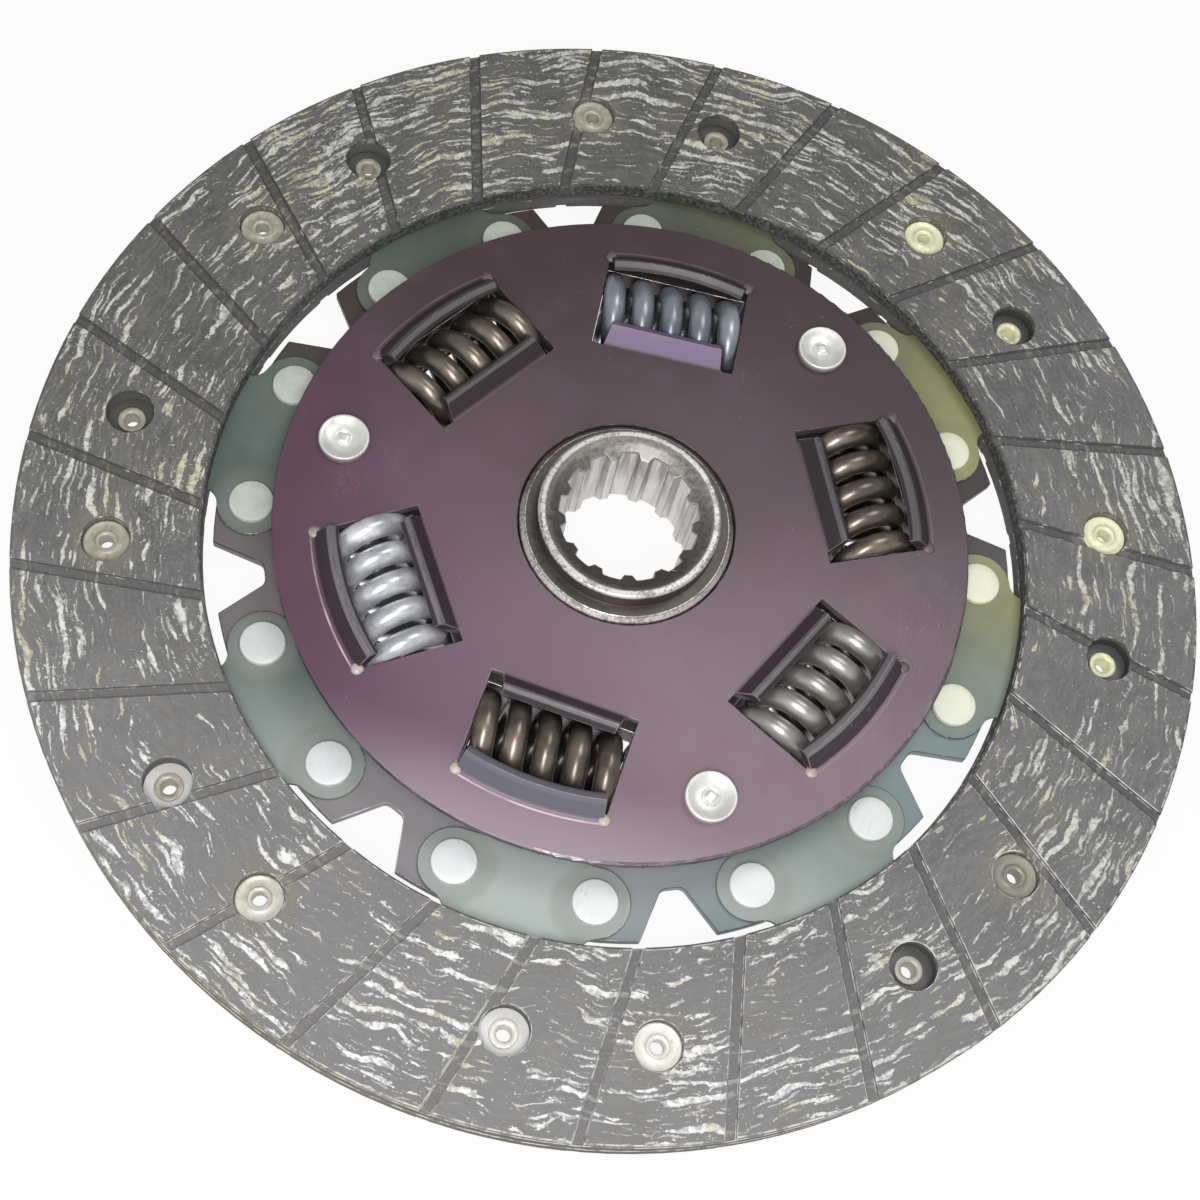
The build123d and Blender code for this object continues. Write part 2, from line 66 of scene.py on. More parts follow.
MM = 0.001
segment_count = 8
segment_step = 360.0 / segment_count
pin_step = 120.0
pin_angles = (60.0, 180.0, 300.0)
window_from_pin = 33.5
window_angles = [pin + side * window_from_pin for pin in pin_angles for side in (-1, 1)]
pin_circle = 52.4 * MM
segment_rivet_circle = 66.9 * MM
segment_rivet_half_angle = 10.7
facing_rivet_circle = 91.25 * MM
lip_end_circle = 55.1 * MM
lip_half_angle = 13.83
front_rivet_angle = 18.1
rear_rivet_angle = 2.2

lining_face = 4.0 * MM
lining_bore = 75.0 * MM
lining_rim = 107.5 * MM
lining_edge_width = 0.16 * MM
plate_edge_width = 0.16 * MM
hub_edge_width = 0.14 * MM
segment_edge_width = 0.1 * MM
bead_radius = 1.14 * MM
front_bead_level = 9.42 * MM
rear_bead_level = -2.32 * MM
tubular_rivet_seat = 2.1 * MM

spring_circle = 44.25 * MM
spring_middle = 3.55 * MM
coil_radius = 6.1 * MM
wire_radius = 2.1 * MM
coil_pitch = 5.5 * MM
coil_height = 30.5 * MM
spring_length = 26.3 * MM

floor_level = -5.64 * MM
floor_size = 30.0

# ---------------------------------------------------------------- nodes


def paint(red, green, blue):
    """A colour from its screen values, 0 to 255."""
    linear = []
    for value in (red, green, blue):
        share = value / 255
        linear.append(share / 12.92 if share <= 0.04045 else ((share + 0.055) / 1.055) ** 2.4)
    return (*linear, 1.0)


class Bench:
    """Lays out the nodes of one material or shader group and wires them."""

    def __init__(self, tree):
        self.tree = tree

    def feed(self, source, socket):
        if isinstance(source, bpy.types.NodeSocket):
            self.tree.links.new(source, socket)
        else:
            socket.default_value = source

    def add(self, kind, wires, **settings):
        node = self.tree.nodes.new("ShaderNode" + kind)
        for name, value in settings.items():
            setattr(node, name, value)
        for socket, source in wires.items():
            self.feed(source, node.inputs[socket])
        return node

    def math(self, operation, first, second=0.0):
        return self.add("Math", {0: first, 1: second}, operation=operation).outputs[0]

    def times(self, first, second):
        return self.math("MULTIPLY", first, second)

    def plus(self, first, second):
        return self.math("ADD", first, second)

    def minus(self, first, second):
        return self.math("SUBTRACT", first, second)

    def most(self, first, second):
        return self.math("MAXIMUM", first, second)

    def rise(self, value, start, full, low=0.0, high=1.0):
        """Goes smoothly from low to high as the value goes from start to full."""
        wires = {"Value": value, "From Min": start, "From Max": full, "To Min": low, "To Max": high}
        return self.add("MapRange", wires, interpolation_type="SMOOTHSTEP").outputs[0]

    def band(self, value, centre, half_width, soft):
        """1 inside a band of values, 0 outside it."""
        away = self.math("ABSOLUTE", self.minus(value, centre))
        return self.rise(away, half_width + soft, half_width)

    def wrap(self, angle, step):
        """The angle from the nearest step round the disc, up to half a step either way."""
        wires = {0: angle, 1: step / 2, 2: -step / 2}
        return self.add("Math", wires, operation="WRAP").outputs[0]

    def noise(self, place, scale, detail=2.0, roughness=0.5):
        wires = {"Vector": place, "Scale": scale, "Detail": detail, "Roughness": roughness}
        return self.add("TexNoise", wires).outputs[0]

    def mix(self, share, first, second):
        wires = {0: share, 6: first, 7: second}
        return self.add("Mix", wires, data_type="RGBA").outputs[2]

    def tint(self, colour, mask, share, shade):
        """The colour, taken towards a shade by a share of the mask."""
        return self.mix(self.times(mask, share), colour, shade)

    def combine(self, x, y, z):
        return self.add("CombineXYZ", {0: x, 1: y, 2: z}).outputs[0]

    def group(self, tree, wires):
        node = self.add("Group", {}, node_tree=tree)
        for socket, source in wires.items():
            self.feed(source, node.inputs[socket])
        return node.outputs


def shader_group(name, inputs, outputs):
    """A new shader group: its bench, its input sockets and its output sockets."""
    tree = bpy.data.node_groups.new(name, "ShaderNodeTree")
    for socket, kind in inputs:
        tree.interface.new_socket(socket, in_out="INPUT", socket_type="NodeSocket" + kind)
    for socket, kind in outputs:
        tree.interface.new_socket(socket, in_out="OUTPUT", socket_type="NodeSocket" + kind)
    start = tree.nodes.new("NodeGroupInput")
    end = tree.nodes.new("NodeGroupOutput")
    return tree, Bench(tree), start.outputs, end.inputs


# Where a point lies on the disc: in millimetres, by radius, direction and height
disc_place, bench, given, wanted = shader_group(
    "disc_place",
    [("Place", "Vector")],
    [("Millimetres", "Vector"), ("Radius", "Float"), ("Across", "Float"), ("Along", "Float"),
     ("Height", "Float"), ("Angle", "Float")],
)
scaled = bench.add("VectorMath", {0: given["Place"], "Scale": 1000.0}, operation="SCALE").outputs[0]
parts = bench.add("SeparateXYZ", {0: scaled}).outputs
radius = bench.math("SQRT", bench.plus(bench.times(parts[0], parts[0]), bench.times(parts[1], parts[1])))
radius = bench.most(radius, 0.01)
bench.feed(scaled, wanted["Millimetres"])
bench.feed(radius, wanted["Radius"])
bench.feed(bench.math("DIVIDE", parts[0], radius), wanted["Across"])
bench.feed(bench.math("DIVIDE", parts[1], radius), wanted["Along"])
bench.feed(parts[2], wanted["Height"])
bench.feed(bench.math("ARCTAN2", parts[1], parts[0]), wanted["Angle"])

# Small specks of dust and lint
dust, bench, given, wanted = shader_group(
    "dust",
    [("Millimetres", "Vector"), ("Size", "Float"), ("Share", "Float")],
    [("Mask", "Float")],
)
frequency = bench.math("DIVIDE", 1.0, given["Size"])
grain = bench.noise(given["Millimetres"], frequency, 2.0, 0.6)
clusters = bench.noise(given["Millimetres"], 0.06, 2.0, 0.5)
level = bench.plus(grain, bench.times(bench.minus(clusters, 0.5), 0.25))
start = bench.minus(0.86, bench.times(given["Share"], 0.36))
bench.feed(bench.rise(level, start, bench.plus(start, 0.03)), wanted["Mask"])

# Fine handling scratches, straight and short, in two directions
scratches, bench, given, wanted = shader_group(
    "scratches",
    [("Millimetres", "Vector"), ("Share", "Float")],
    [("Mask", "Float")],
)
marks = []
for turn, stretch in ((0.6, 9.0), (-1.1, 13.0)):
    mapped = bench.add("Mapping", {"Vector": given["Millimetres"], "Rotation": (0.0, 0.0, turn),
                                   "Scale": (1.0, 1.0 / stretch, 0.4)}).outputs[0]
    lines = bench.noise(mapped, 1.5, 1.0, 0.4)
    patches = bench.noise(given["Millimetres"], 0.05 + 0.02 * turn, 2.0, 0.5)
    narrow = bench.band(lines, 0.5, 0.0015, 0.006)
    start = bench.minus(0.80, bench.times(given["Share"], 0.30))
    here = bench.rise(patches, start, bench.plus(start, 0.06))
    marks.append(bench.times(narrow, here))
bench.feed(bench.most(marks[0], marks[1]), wanted["Mask"])

# Bright speckled metal where a coat or a scale has been knocked off
rubbed, bench, given, wanted = shader_group(
    "rubbed",
    [("Millimetres", "Vector"), ("Grain", "Float"), ("Share", "Float")],
    [("Mask", "Float"), ("Height", "Float")],
)
frequency = bench.math("DIVIDE", 1.0, given["Grain"])
fine = bench.noise(given["Millimetres"], frequency, 4.0, 0.7)
broad = bench.noise(given["Millimetres"], bench.times(frequency, 0.12), 2.0, 0.5)
level = bench.plus(bench.times(fine, 0.6), bench.times(broad, 0.4))
start = bench.minus(0.62, bench.times(given["Share"], 0.26))
bench.feed(bench.rise(level, start, bench.plus(start, 0.09)), wanted["Mask"])
bench.feed(fine, wanted["Height"])

# Groove edges that face the light, on one side of the disc
lit_edge, bench, given, wanted = shader_group(
    "lit_groove_edge", [("Place", "Vector"), ("Normal", "Vector")], [("Mask", "Float")]
)
place = bench.group(disc_place, {"Place": given["Place"]})
to_light = radians(285.0)
lit_quarter = radians(328.0)
light_way = (cos(to_light), sin(to_light), 0.0)
facing = bench.add("VectorMath", {0: given["Normal"], 1: light_way}, operation="DOT_PRODUCT").outputs[1]
by_side = bench.plus(
    bench.times(place["Across"], cos(lit_quarter)), bench.times(place["Along"], sin(lit_quarter))
)
mask = bench.times(bench.rise(facing, 0.2, 0.4), bench.rise(by_side, 0.86, 0.96))
broken = bench.rise(bench.noise(place["Millimetres"], 0.11, 2.0), 0.34, 0.5, 0.25, 1.0)
off_bore = bench.rise(place["Radius"], lining_bore / MM + 0.3, lining_bore / MM + 0.8)
off_rim = bench.rise(place["Radius"], lining_rim / MM - 1.0, lining_rim / MM - 4.5)
between_rims = bench.times(off_bore, off_rim)
bench.feed(bench.times(mask, bench.times(broken, between_rims)), wanted["Mask"])


def material(name, roughness, metallic=0.0, **sockets):
    """A new material, its bench and shader, where its points lie, and that in millimetres."""
    made = bpy.data.materials.new(name)
    made.use_nodes = True
    bench = Bench(made.node_tree)
    shader = made.node_tree.nodes["Principled BSDF"]
    shader.inputs["Roughness"].default_value = roughness
    shader.inputs["Metallic"].default_value = metallic
    for socket, value in sockets.items():
        shader.inputs[socket.replace("_", " ")].default_value = value
    object_place = made.node_tree.nodes.new("ShaderNodeTexCoord").outputs["Object"]
    place = bench.group(disc_place, {"Place": object_place})
    return made, bench, shader, place, place["Millimetres"]


def coat(bench, shader, colour, roughness=None):
    """Give the shader its colour and, where that changes too, its roughness."""
    bench.feed(colour, shader.inputs["Base Color"])
    if roughness is not None:
        bench.feed(roughness, shader.inputs["Roughness"])


def bump(bench, shader, height, distance, strength):
    wires = {"Height": height, "Distance": distance, "Strength": strength}
    bench.feed(bench.add("Bump", wires).outputs[0], shader.inputs["Normal"])


# The tints over one side of the disc, and the lit groove edges, are light and reflections
# painted into the colours. They are fixed to the part and turn with it.
def towards(bench, place, degrees, near, far):
    """0 to 1 across the disc in one direction, from near to far in millimetres."""
    x = bench.times(bench.times(place["Across"], place["Radius"]), cos(radians(degrees)))
    y = bench.times(bench.times(place["Along"], place["Radius"]), sin(radians(degrees)))
    return bench.rise(bench.plus(x, y), near, far)


def tint_side(bench, place, colour, degrees, near, far, share, shade):
    """The colour, taken towards a shade over one side of the disc."""
    return bench.tint(colour, towards(bench, place, degrees, near, far), share, shade)


def dusted(bench, mm, colour, size, share, strength, shade):
    """The colour, with specks of dust over it."""
    specks = bench.group(dust, {"Millimetres": mm, "Size": size, "Share": share})["Mask"]
    return bench.tint(colour, specks, strength, shade)


def scratched(bench, mm, colour, share, strength, shade):
    """The colour, with fine handling scratches over it."""
    lines = bench.group(scratches, {"Millimetres": mm, "Share": share})["Mask"]
    return bench.tint(colour, lines, strength, shade)


def rubbed_metal(bench, mm, grain, share):
    """The mask and the height of rubbed metal."""
    return bench.group(rubbed, {"Millimetres": mm, "Grain": grain, "Share": share})


def below_face(bench, place):
    """How deep a point lies under its lining's face, in millimetres."""
    return bench.minus(lining_face / MM, bench.math("ABSOLUTE", place["Height"]))


def from_middle(bench, place):
    """How far a point lies in front of or behind the springs' middle, in millimetres."""
    return bench.math("ABSOLUTE", bench.minus(place["Height"], spring_middle / MM))


def lit_groove(bench, share):
    """The groove edges that face the light, by a share that holds them to the top."""
    surface = bench.add("TexCoord", {}).outputs
    lit = bench.group(lit_edge, {"Place": surface["Object"], "Normal": surface["Normal"]})["Mask"]
    return bench.times(lit, share)


# ---------------------------------------------------------------- friction lining


def lining_material(name, bore_colour, own_rivet_angle):
    """Wound yarn and resin, ground flat: broken pale fibres in a grey bond, painted paler towards the lit
    side and darker towards the other, with painted shade in its grooves and wells.
    """
    made, bench, shader, place, mm = material(name, roughness=0.8)
    radius = place["Radius"]
    painted_light_side = towards(bench, place, 262.0, 10.0, 100.0)
    painted_shade_side = towards(bench, place, 120.0, 10.0, 100.0)

    # Windings: wavy lines round the disc, each broken into short pale strands
    long_bend = bench.times(bench.minus(bench.noise(mm, 0.045, 2.0), 0.5), 9.0)
    short_bend = bench.times(bench.minus(bench.noise(mm, 0.16, 2.0), 0.5), 3.2)
    wavy_radius = bench.plus(radius, bench.plus(long_bend, short_bend))
    ragged = bench.times(bench.minus(bench.noise(mm, 1.5, 3.0, 0.6), 0.5), 1.1)
    patches = bench.minus(bench.noise(mm, 0.06, 3.0, 0.55), 0.5)
    crowding = bench.plus(bench.times(patches, 0.42), bench.rise(radius, 79.0, 92.0, -0.008, 0.022))
    crowding = bench.plus(crowding, bench.times(towards(bench, place, 290.0, 10.0, 80.0), 0.01))
    crowding = bench.plus(crowding, bench.times(towards(bench, place, 115.0, 40.0, 92.0), 0.026))
    strands = []
    for spacing, along, across, width, start in (
        (2.5, 9.5, 0.50, 0.58, 0.508),
        (1.7, 16.0, 0.90, 0.36, 0.530),
        (1.1, 26.0, 1.30, 0.22, 0.545),
    ):
        from_line = bench.plus(bench.math("PINGPONG", wavy_radius, spacing / 2), ragged)
        breaks_place = bench.combine(
            bench.times(place["Across"], along),
            bench.times(place["Along"], along),
            bench.times(wavy_radius, across),
        )
        breaks = bench.plus(bench.noise(breaks_place, 1.0, 2.0, 0.5), crowding)
        half_width = bench.rise(breaks, start, start + 0.15, -0.2, width)
        inside = bench.minus(half_width, from_line)
        strands.append(bench.rise(inside, -0.10, 0.12))
    fine_fibres = bench.most(bench.times(strands[1], 0.85), bench.times(strands[2], 0.6))
    crumbs = bench.group(dust, {"Millimetres": mm, "Size": 1.0, "Share": 0.54})["Mask"]
    fine_crumbs = bench.group(dust, {"Millimetres": mm, "Size": 0.55, "Share": 0.50})["Mask"]
    fibres = bench.most(strands[0], fine_fibres)
    fibres = bench.most(fibres, bench.times(crumbs, 0.9))
    fibres = bench.most(fibres, bench.times(fine_crumbs, 0.7))
    worn_thin = bench.rise(bench.noise(mm, 0.9, 3.0, 0.65), 0.36, 0.60, 0.35, 1.0)
    fibres = bench.times(fibres, worn_thin)

    # Bond: mottled grey, with faint streaks along the windings
    depth = below_face(bench, place)
    sunk = bench.rise(depth, 0.06, 0.25)
    grain = bench.noise(mm, 1.3, 4.0, 0.65)
    mottle = bench.noise(mm, 0.11, 3.0, 0.55)
    streak_place = bench.combine(
        bench.times(place["Across"], 20.0),
        bench.times(place["Along"], 20.0),
        bench.times(wavy_radius, 1.6),
    )
    streaks = bench.noise(streak_place, 1.0, 3.0, 0.6)
    bond = bench.mix(bench.rise(mottle, 0.3, 0.7), paint(94, 93, 91), paint(114, 112, 110))
    bond = bench.tint(bond, bench.rise(streaks, 0.45, 0.75), 0.6, paint(138, 136, 132))
    bond = bench.tint(bond, bench.rise(streaks, 0.5, 0.25), 0.5, paint(76, 75, 74))
    bond = bench.tint(bond, bench.rise(grain, 0.45, 0.75), 0.5, paint(134, 132, 130))
    bond = bench.tint(bond, bench.rise(grain, 0.48, 0.25), 0.55, paint(78, 76, 75))
    # Painted light and shade: the bond paler towards the lit side, darker towards the far side, and paler
    # again over a third side
    bond = bench.tint(bond, painted_light_side, 0.7, paint(148, 146, 145))
    bond = bench.tint(bond, painted_shade_side, 0.3, paint(88, 87, 84))
    bond = tint_side(bench, place, bond, 352.0, 20.0, 95.0, 0.3, paint(146, 145, 146))
    warm = bench.rise(bench.noise(mm, 0.13, 2.0), 0.55, 0.75)
    bond = bench.tint(bond, warm, 0.22, paint(126, 122, 100))
    fibre_tint = bench.rise(bench.noise(mm, 0.11, 2.0), 0.53, 0.64)
    # Painted light: the fibres paler on the lit side
    fibre_colour = bench.mix(painted_light_side, paint(222, 220, 212), paint(252, 250, 247))
    fibre_colour = bench.tint(fibre_colour, fibre_tint, 0.8, paint(214, 207, 166))

    # Round the lining's own rivets the face is stained, and less painted shade falls in their wells
    turn = bench.wrap(bench.minus(place["Angle"], radians(own_rivet_angle)), radians(segment_step))
    rivet_x = bench.minus(bench.times(radius, bench.math("COSINE", turn)), facing_rivet_circle / MM)
    rivet_y = bench.times(radius, bench.math("SINE", turn))
    from_rivet = bench.add("VectorMath", {0: bench.combine(rivet_x, rivet_y, 0.0)}, operation="LENGTH")
    from_rivet = bench.plus(from_rivet.outputs[1], bench.times(patches, 4.0))
    own_well = bench.rise(from_rivet, 6.5, 5.5)
    stain = bench.times(bench.rise(from_rivet, 8.0, 4.5), bench.rise(grain, 0.3, 0.6, 0.2, 0.45))
    bond = bench.mix(stain, bond, paint(140, 134, 112))

    on_top = bench.rise(sunk, 1.0, 0.0, 0.4, 1.0)
    colour = bench.mix(bench.times(fibres, on_top), bond, fibre_colour)
    # Painted shade in the grooves, lighter on the lit side and weaker in the lining's own rivet wells
    painted_groove_shade = bench.mix(painted_light_side, paint(74, 73, 72), paint(122, 120, 119))
    groove_share = bench.times(sunk, bench.rise(own_well, 0.0, 1.0, 0.55, 0.1))
    groove_share = bench.times(groove_share, bench.rise(mottle, 0.3, 0.65, 0.6, 1.0))
    colour = bench.mix(groove_share, colour, painted_groove_shade)
    # Painted shade in the wells deeper than the grooves, darker towards one side
    well_side = towards(bench, place, 10.0, 30.0, 85.0)
    painted_well_shade = bench.mix(well_side, paint(110, 108, 105), paint(62, 60, 60))
    in_well = bench.times(bench.rise(depth, 0.95, 1.3), bench.minus(1.0, own_well))
    colour = bench.tint(colour, in_well, 0.9, painted_well_shade)
    # Painted highlight on the groove edges that face the light
    off_wells = bench.rise(own_well, 1.0, 0.0)
    lit = lit_groove(bench, bench.times(bench.rise(depth, 0.35, 0.25), off_wells))
    colour = bench.tint(colour, lit, 0.7, paint(216, 214, 208))
    rim = bench.rise(radius, lining_rim / MM - 0.4, lining_rim / MM - 0.05)
    olive_side = towards(bench, place, 190.0, -40.0, 90.0)
    rim_colour = bench.mix(olive_side, paint(96, 94, 90), paint(116, 108, 76))
    colour = bench.tint(colour, rim, 0.75, rim_colour)
    bore = bench.rise(radius, lining_bore / MM + 0.35, lining_bore / MM + 0.05)
    bore_shade = bench.mix(bench.rise(grain, 0.42, 0.66), bore_colour, paint(128, 126, 122))
    colour = bench.tint(colour, bore, 0.85, bore_shade)
    coat(bench, shader, colour, bench.rise(fibres, 0.0, 1.0, 0.82, 0.62))
    height = bench.plus(bench.times(grain, 0.6), bench.times(fibres, 0.6))
    height = bench.plus(height, bench.times(streaks, 0.8))
    bump(bench, shader, height, 0.00014, 0.8)
    return made


def lining_edge_material():
    """The lining's broken edge along its grooves and rims, rubbed pale in places, painted paler towards the
    lit side, with painted highlights where groove edges face the light.
    """
    made, bench, shader, place, mm = material("friction_lining_edge", roughness=0.75)
    rough = bench.noise(mm, 0.5, 4.0, 0.65)
    # Painted light: pale patches more common and the edge paler towards the lit side
    side = towards(bench, place, 300.0, -20.0, 95.0)
    level = bench.plus(rough, bench.times(side, 0.14))
    base = bench.mix(towards(bench, place, 262.0, 10.0, 100.0), paint(92, 90, 88), paint(140, 138, 136))
    colour = bench.mix(bench.rise(level, 0.54, 0.70), base, paint(216, 212, 206))
    # Painted highlight on the groove edges that face the light
    lit = lit_groove(bench, bench.rise(below_face(bench, place), 0.35, 0.25))
    colour = bench.tint(colour, lit, 0.95, paint(252, 250, 246))
    coat(bench, shader, colour)
    bump(bench, shader, rough, 0.0001, 0.6)
    return made


# ---------------------------------------------------------------- coated plates


def plate_material():
    """Dark purple-brown phosphate coat, painted lighter and greyer towards the lit side as sheen, with
    painted shade on its lips, rim and outer wall.
    """
    made, bench, shader, place, mm = material("retaining_plate_coat", roughness=0.42, Specular_IOR_Level=0.4)
    mottle = bench.noise(mm, 0.03, 3.0, 0.5)
    cloud = bench.noise(mm, 0.12, 3.0, 0.6)
    # Painted sheen: lighter and greyer towards the lit side
    light_side = towards(bench, place, 274.0, -74.0, 84.0)
    level = bench.plus(light_side, bench.times(bench.minus(mottle, 0.5), 0.35))
    colour = bench.mix(bench.rise(level, 0.0, 1.0), paint(74, 58, 62), paint(144, 122, 132))
    colour = tint_side(bench, place, colour, 228.0, 5.0, 62.0, 0.75, paint(104, 72, 98))
    colour = bench.mix(bench.rise(cloud, 0.45, 0.75, 0.0, 0.14), colour, paint(118, 92, 118))
    # Painted shade: darker towards the rim, more on the side away from the light
    by_light = bench.rise(light_side, 0.8, 0.2, 0.08, 0.3)
    outward = bench.times(bench.rise(place["Radius"], 26.0, 62.0), by_light)
    colour = bench.mix(outward, colour, paint(66, 52, 57))
    # Painted highlight near the rim on the lit side
    colour = tint_side(bench, place, colour, 268.0, 45.0, 62.0, 0.66, paint(180, 163, 173))
    colour = tint_side(bench, place, colour, 202.0, 36.0, 62.0, 0.5, paint(88, 52, 66))
    # Painted shadow on the rim's outer wall
    under = bench.times(bench.rise(place["Radius"], 61.9, 62.3), bench.rise(place["Height"], 9.45, 9.2))
    colour = bench.tint(colour, under, 0.85, paint(36, 31, 33))
    smear_place = (-49.0, -7.5, 9.6)
    spot = bench.add("VectorMath", {0: mm, 1: smear_place}, operation="DISTANCE").outputs[1]
    smear_grain = bench.rise(bench.noise(mm, 1.6, 4.0, 0.7), 0.44, 0.62)
    smear = bench.times(bench.rise(spot, 6.0, 1.0), smear_grain)
    colour = bench.tint(colour, smear, 0.45, paint(146, 82, 112))

    # Lips: painted shade on the bends, painted light where they lean towards the light, and painted
    # highlights on the tips nearest the light
    level = from_middle(bench, place)
    outer_side = bench.rise(place["Radius"], 44.0, 44.5)
    outer_lip = bench.times(bench.rise(level, 6.06, 6.2), bench.rise(place["Radius"], 56.0, 55.6))
    inner_lip = bench.rise(level, 6.07, 6.5)
    lip = bench.mix(outer_side, inner_lip, outer_lip)
    lean = bench.times(place["Along"], bench.rise(outer_side, 0.0, 1.0, 1.0, -1.0))
    lit = bench.rise(lean, 0.80, 0.94)
    upper_half = towards(bench, place, 90.0, -10.0, 10.0)
    lit_colour = bench.mix(upper_half, paint(100, 103, 114), paint(138, 118, 152))
    lip_colour = bench.mix(lit, paint(48, 41, 45), lit_colour)
    colour = bench.tint(colour, lip, 0.9, lip_colour)
    near_side = towards(bench, place, 270.0, 0.0, 36.0)
    near_share = bench.rise(near_side, 0.0, 1.0, 0.4, 0.75)
    tip_share = bench.times(bench.rise(lit, 0.2, 0.8, 1.0, 0.4), near_share)
    tip = bench.times(bench.rise(level, 8.3, 8.5), tip_share)
    colour = bench.mix(tip, colour, paint(142, 139, 142))

    # A painted highlight along the bend where each outer lip leaves the sheet, stronger towards the light
    turn = bench.wrap(bench.minus(place["Angle"], radians(pin_angles[0])), radians(pin_step))
    fold_half_angle = radians(12.5)
    by_window = bench.band(
        bench.math("ABSOLUTE", turn), radians(window_from_pin), fold_half_angle, radians(1.2)
    )
    fold = bench.times(bench.band(place["Radius"], 55.85, 0.08, 0.14), by_window)
    fold = bench.times(fold, bench.rise(cloud, 0.35, 0.55, 0.5, 1.0))
    fold_share = towards(bench, place, 258.0, 20.0, 54.0)
    fold_share = bench.rise(fold_share, 0.0, 1.0, 0.1, 0.9)
    colour = bench.mix(bench.times(fold, fold_share), colour, paint(236, 214, 222))
    colour = dusted(bench, mm, colour, 0.7, 0.2, 0.7, paint(196, 186, 180))
    colour = scratched(bench, mm, colour, 0.42, 0.3, paint(176, 160, 168))
    grain = bench.noise(mm, 3.2, 3.0, 0.6)
    coat(bench, shader, colour, bench.rise(cloud, 0.3, 0.7, 0.38, 0.5))
    bump(bench, shader, grain, 0.00002, 0.4)
    return made


def disc_plate_material():
    """The same coat on the disc plate, painted from dark brown mauve to pale grey towards the lit side, with
    a teal grey tint to one side and painted shade to the far side and on its lips.
    """
    made, bench, shader, place, mm = material("disc_plate_coat", roughness=0.42)
    mottle = bench.noise(mm, 0.05, 3.0, 0.55)
    # Painted light: paler and greyer towards the lit side
    light_side = towards(bench, place, 268.0, -62.0, 66.0)
    level = bench.plus(light_side, bench.times(bench.minus(mottle, 0.5), 0.3))
    colour = bench.mix(bench.rise(level, 0.0, 1.0), paint(64, 53, 51), paint(162, 162, 165))
    colour = tint_side(bench, place, colour, 326.0, 42.0, 66.0, 0.85, paint(126, 146, 146))
    # Painted shade over the side away from the light
    colour = tint_side(bench, place, colour, 160.0, 10.0, 60.0, 0.75, paint(74, 63, 58))
    colour = tint_side(bench, place, colour, 230.0, 40.0, 66.0, 0.6, paint(132, 124, 127))
    # Painted shade on the lips
    level = from_middle(bench, place)
    lip = bench.rise(level, 6.2, 6.9)
    colour = bench.tint(colour, lip, 0.6, paint(62, 56, 60))
    colour = dusted(bench, mm, colour, 0.7, 0.24, 0.6, paint(196, 186, 180))
    colour = scratched(bench, mm, colour, 0.42, 0.3, paint(180, 176, 180))
    coat(bench, shader, colour, bench.rise(mottle, 0.3, 0.7, 0.38, 0.5))
    bump(bench, shader, bench.noise(mm, 3.2, 3.0, 0.6), 0.00002, 0.4)
    return made


def worn_and_lit_edge_material():
    """A coated edge rubbed pale in patches, paler along the rim and window edges towards the light as wear
    and painted highlight, its base painted paler on the lit side.
    """
    made, bench, shader, place, mm = material("coat_edge_worn_and_lit", roughness=0.4)
    bright = rubbed_metal(bench, mm, 1.4, 0.45)
    # Pale edges along the rim and the windows towards the light: partly wear, partly painted highlight
    strong = bench.times(towards(bench, place, 255.0, 54.0, 61.0), 0.9)
    rim = bench.rise(place["Radius"], 61.5, 62.2)
    by_windows = bench.band(place["Radius"], 44.0, 12.5, 0.5)
    window = bench.times(by_windows, towards(bench, place, 275.0, -40.0, 30.0))
    share = bench.most(bench.times(bright["Mask"], 0.22), bench.times(strong, rim))
    share = bench.most(share, bench.times(window, 0.26))
    share = bench.times(share, bench.rise(bench.noise(mm, 0.25, 3.0, 0.6), 0.32, 0.62, 0.3, 1.0))
    # Painted light: the base paler on the lit side
    painted_light_side = towards(bench, place, 300.0, -30.0, 60.0)
    base = bench.mix(painted_light_side, paint(52, 43, 47), paint(104, 90, 98))
    colour = bench.mix(share, base, paint(228, 217, 221))
    coat(bench, shader, colour)
    bench.feed(bench.times(share, 0.6), shader.inputs["Metallic"])
    bump(bench, shader, bright["Height"], 0.00003, 0.5)
    return made


# ---------------------------------------------------------------- steel pieces


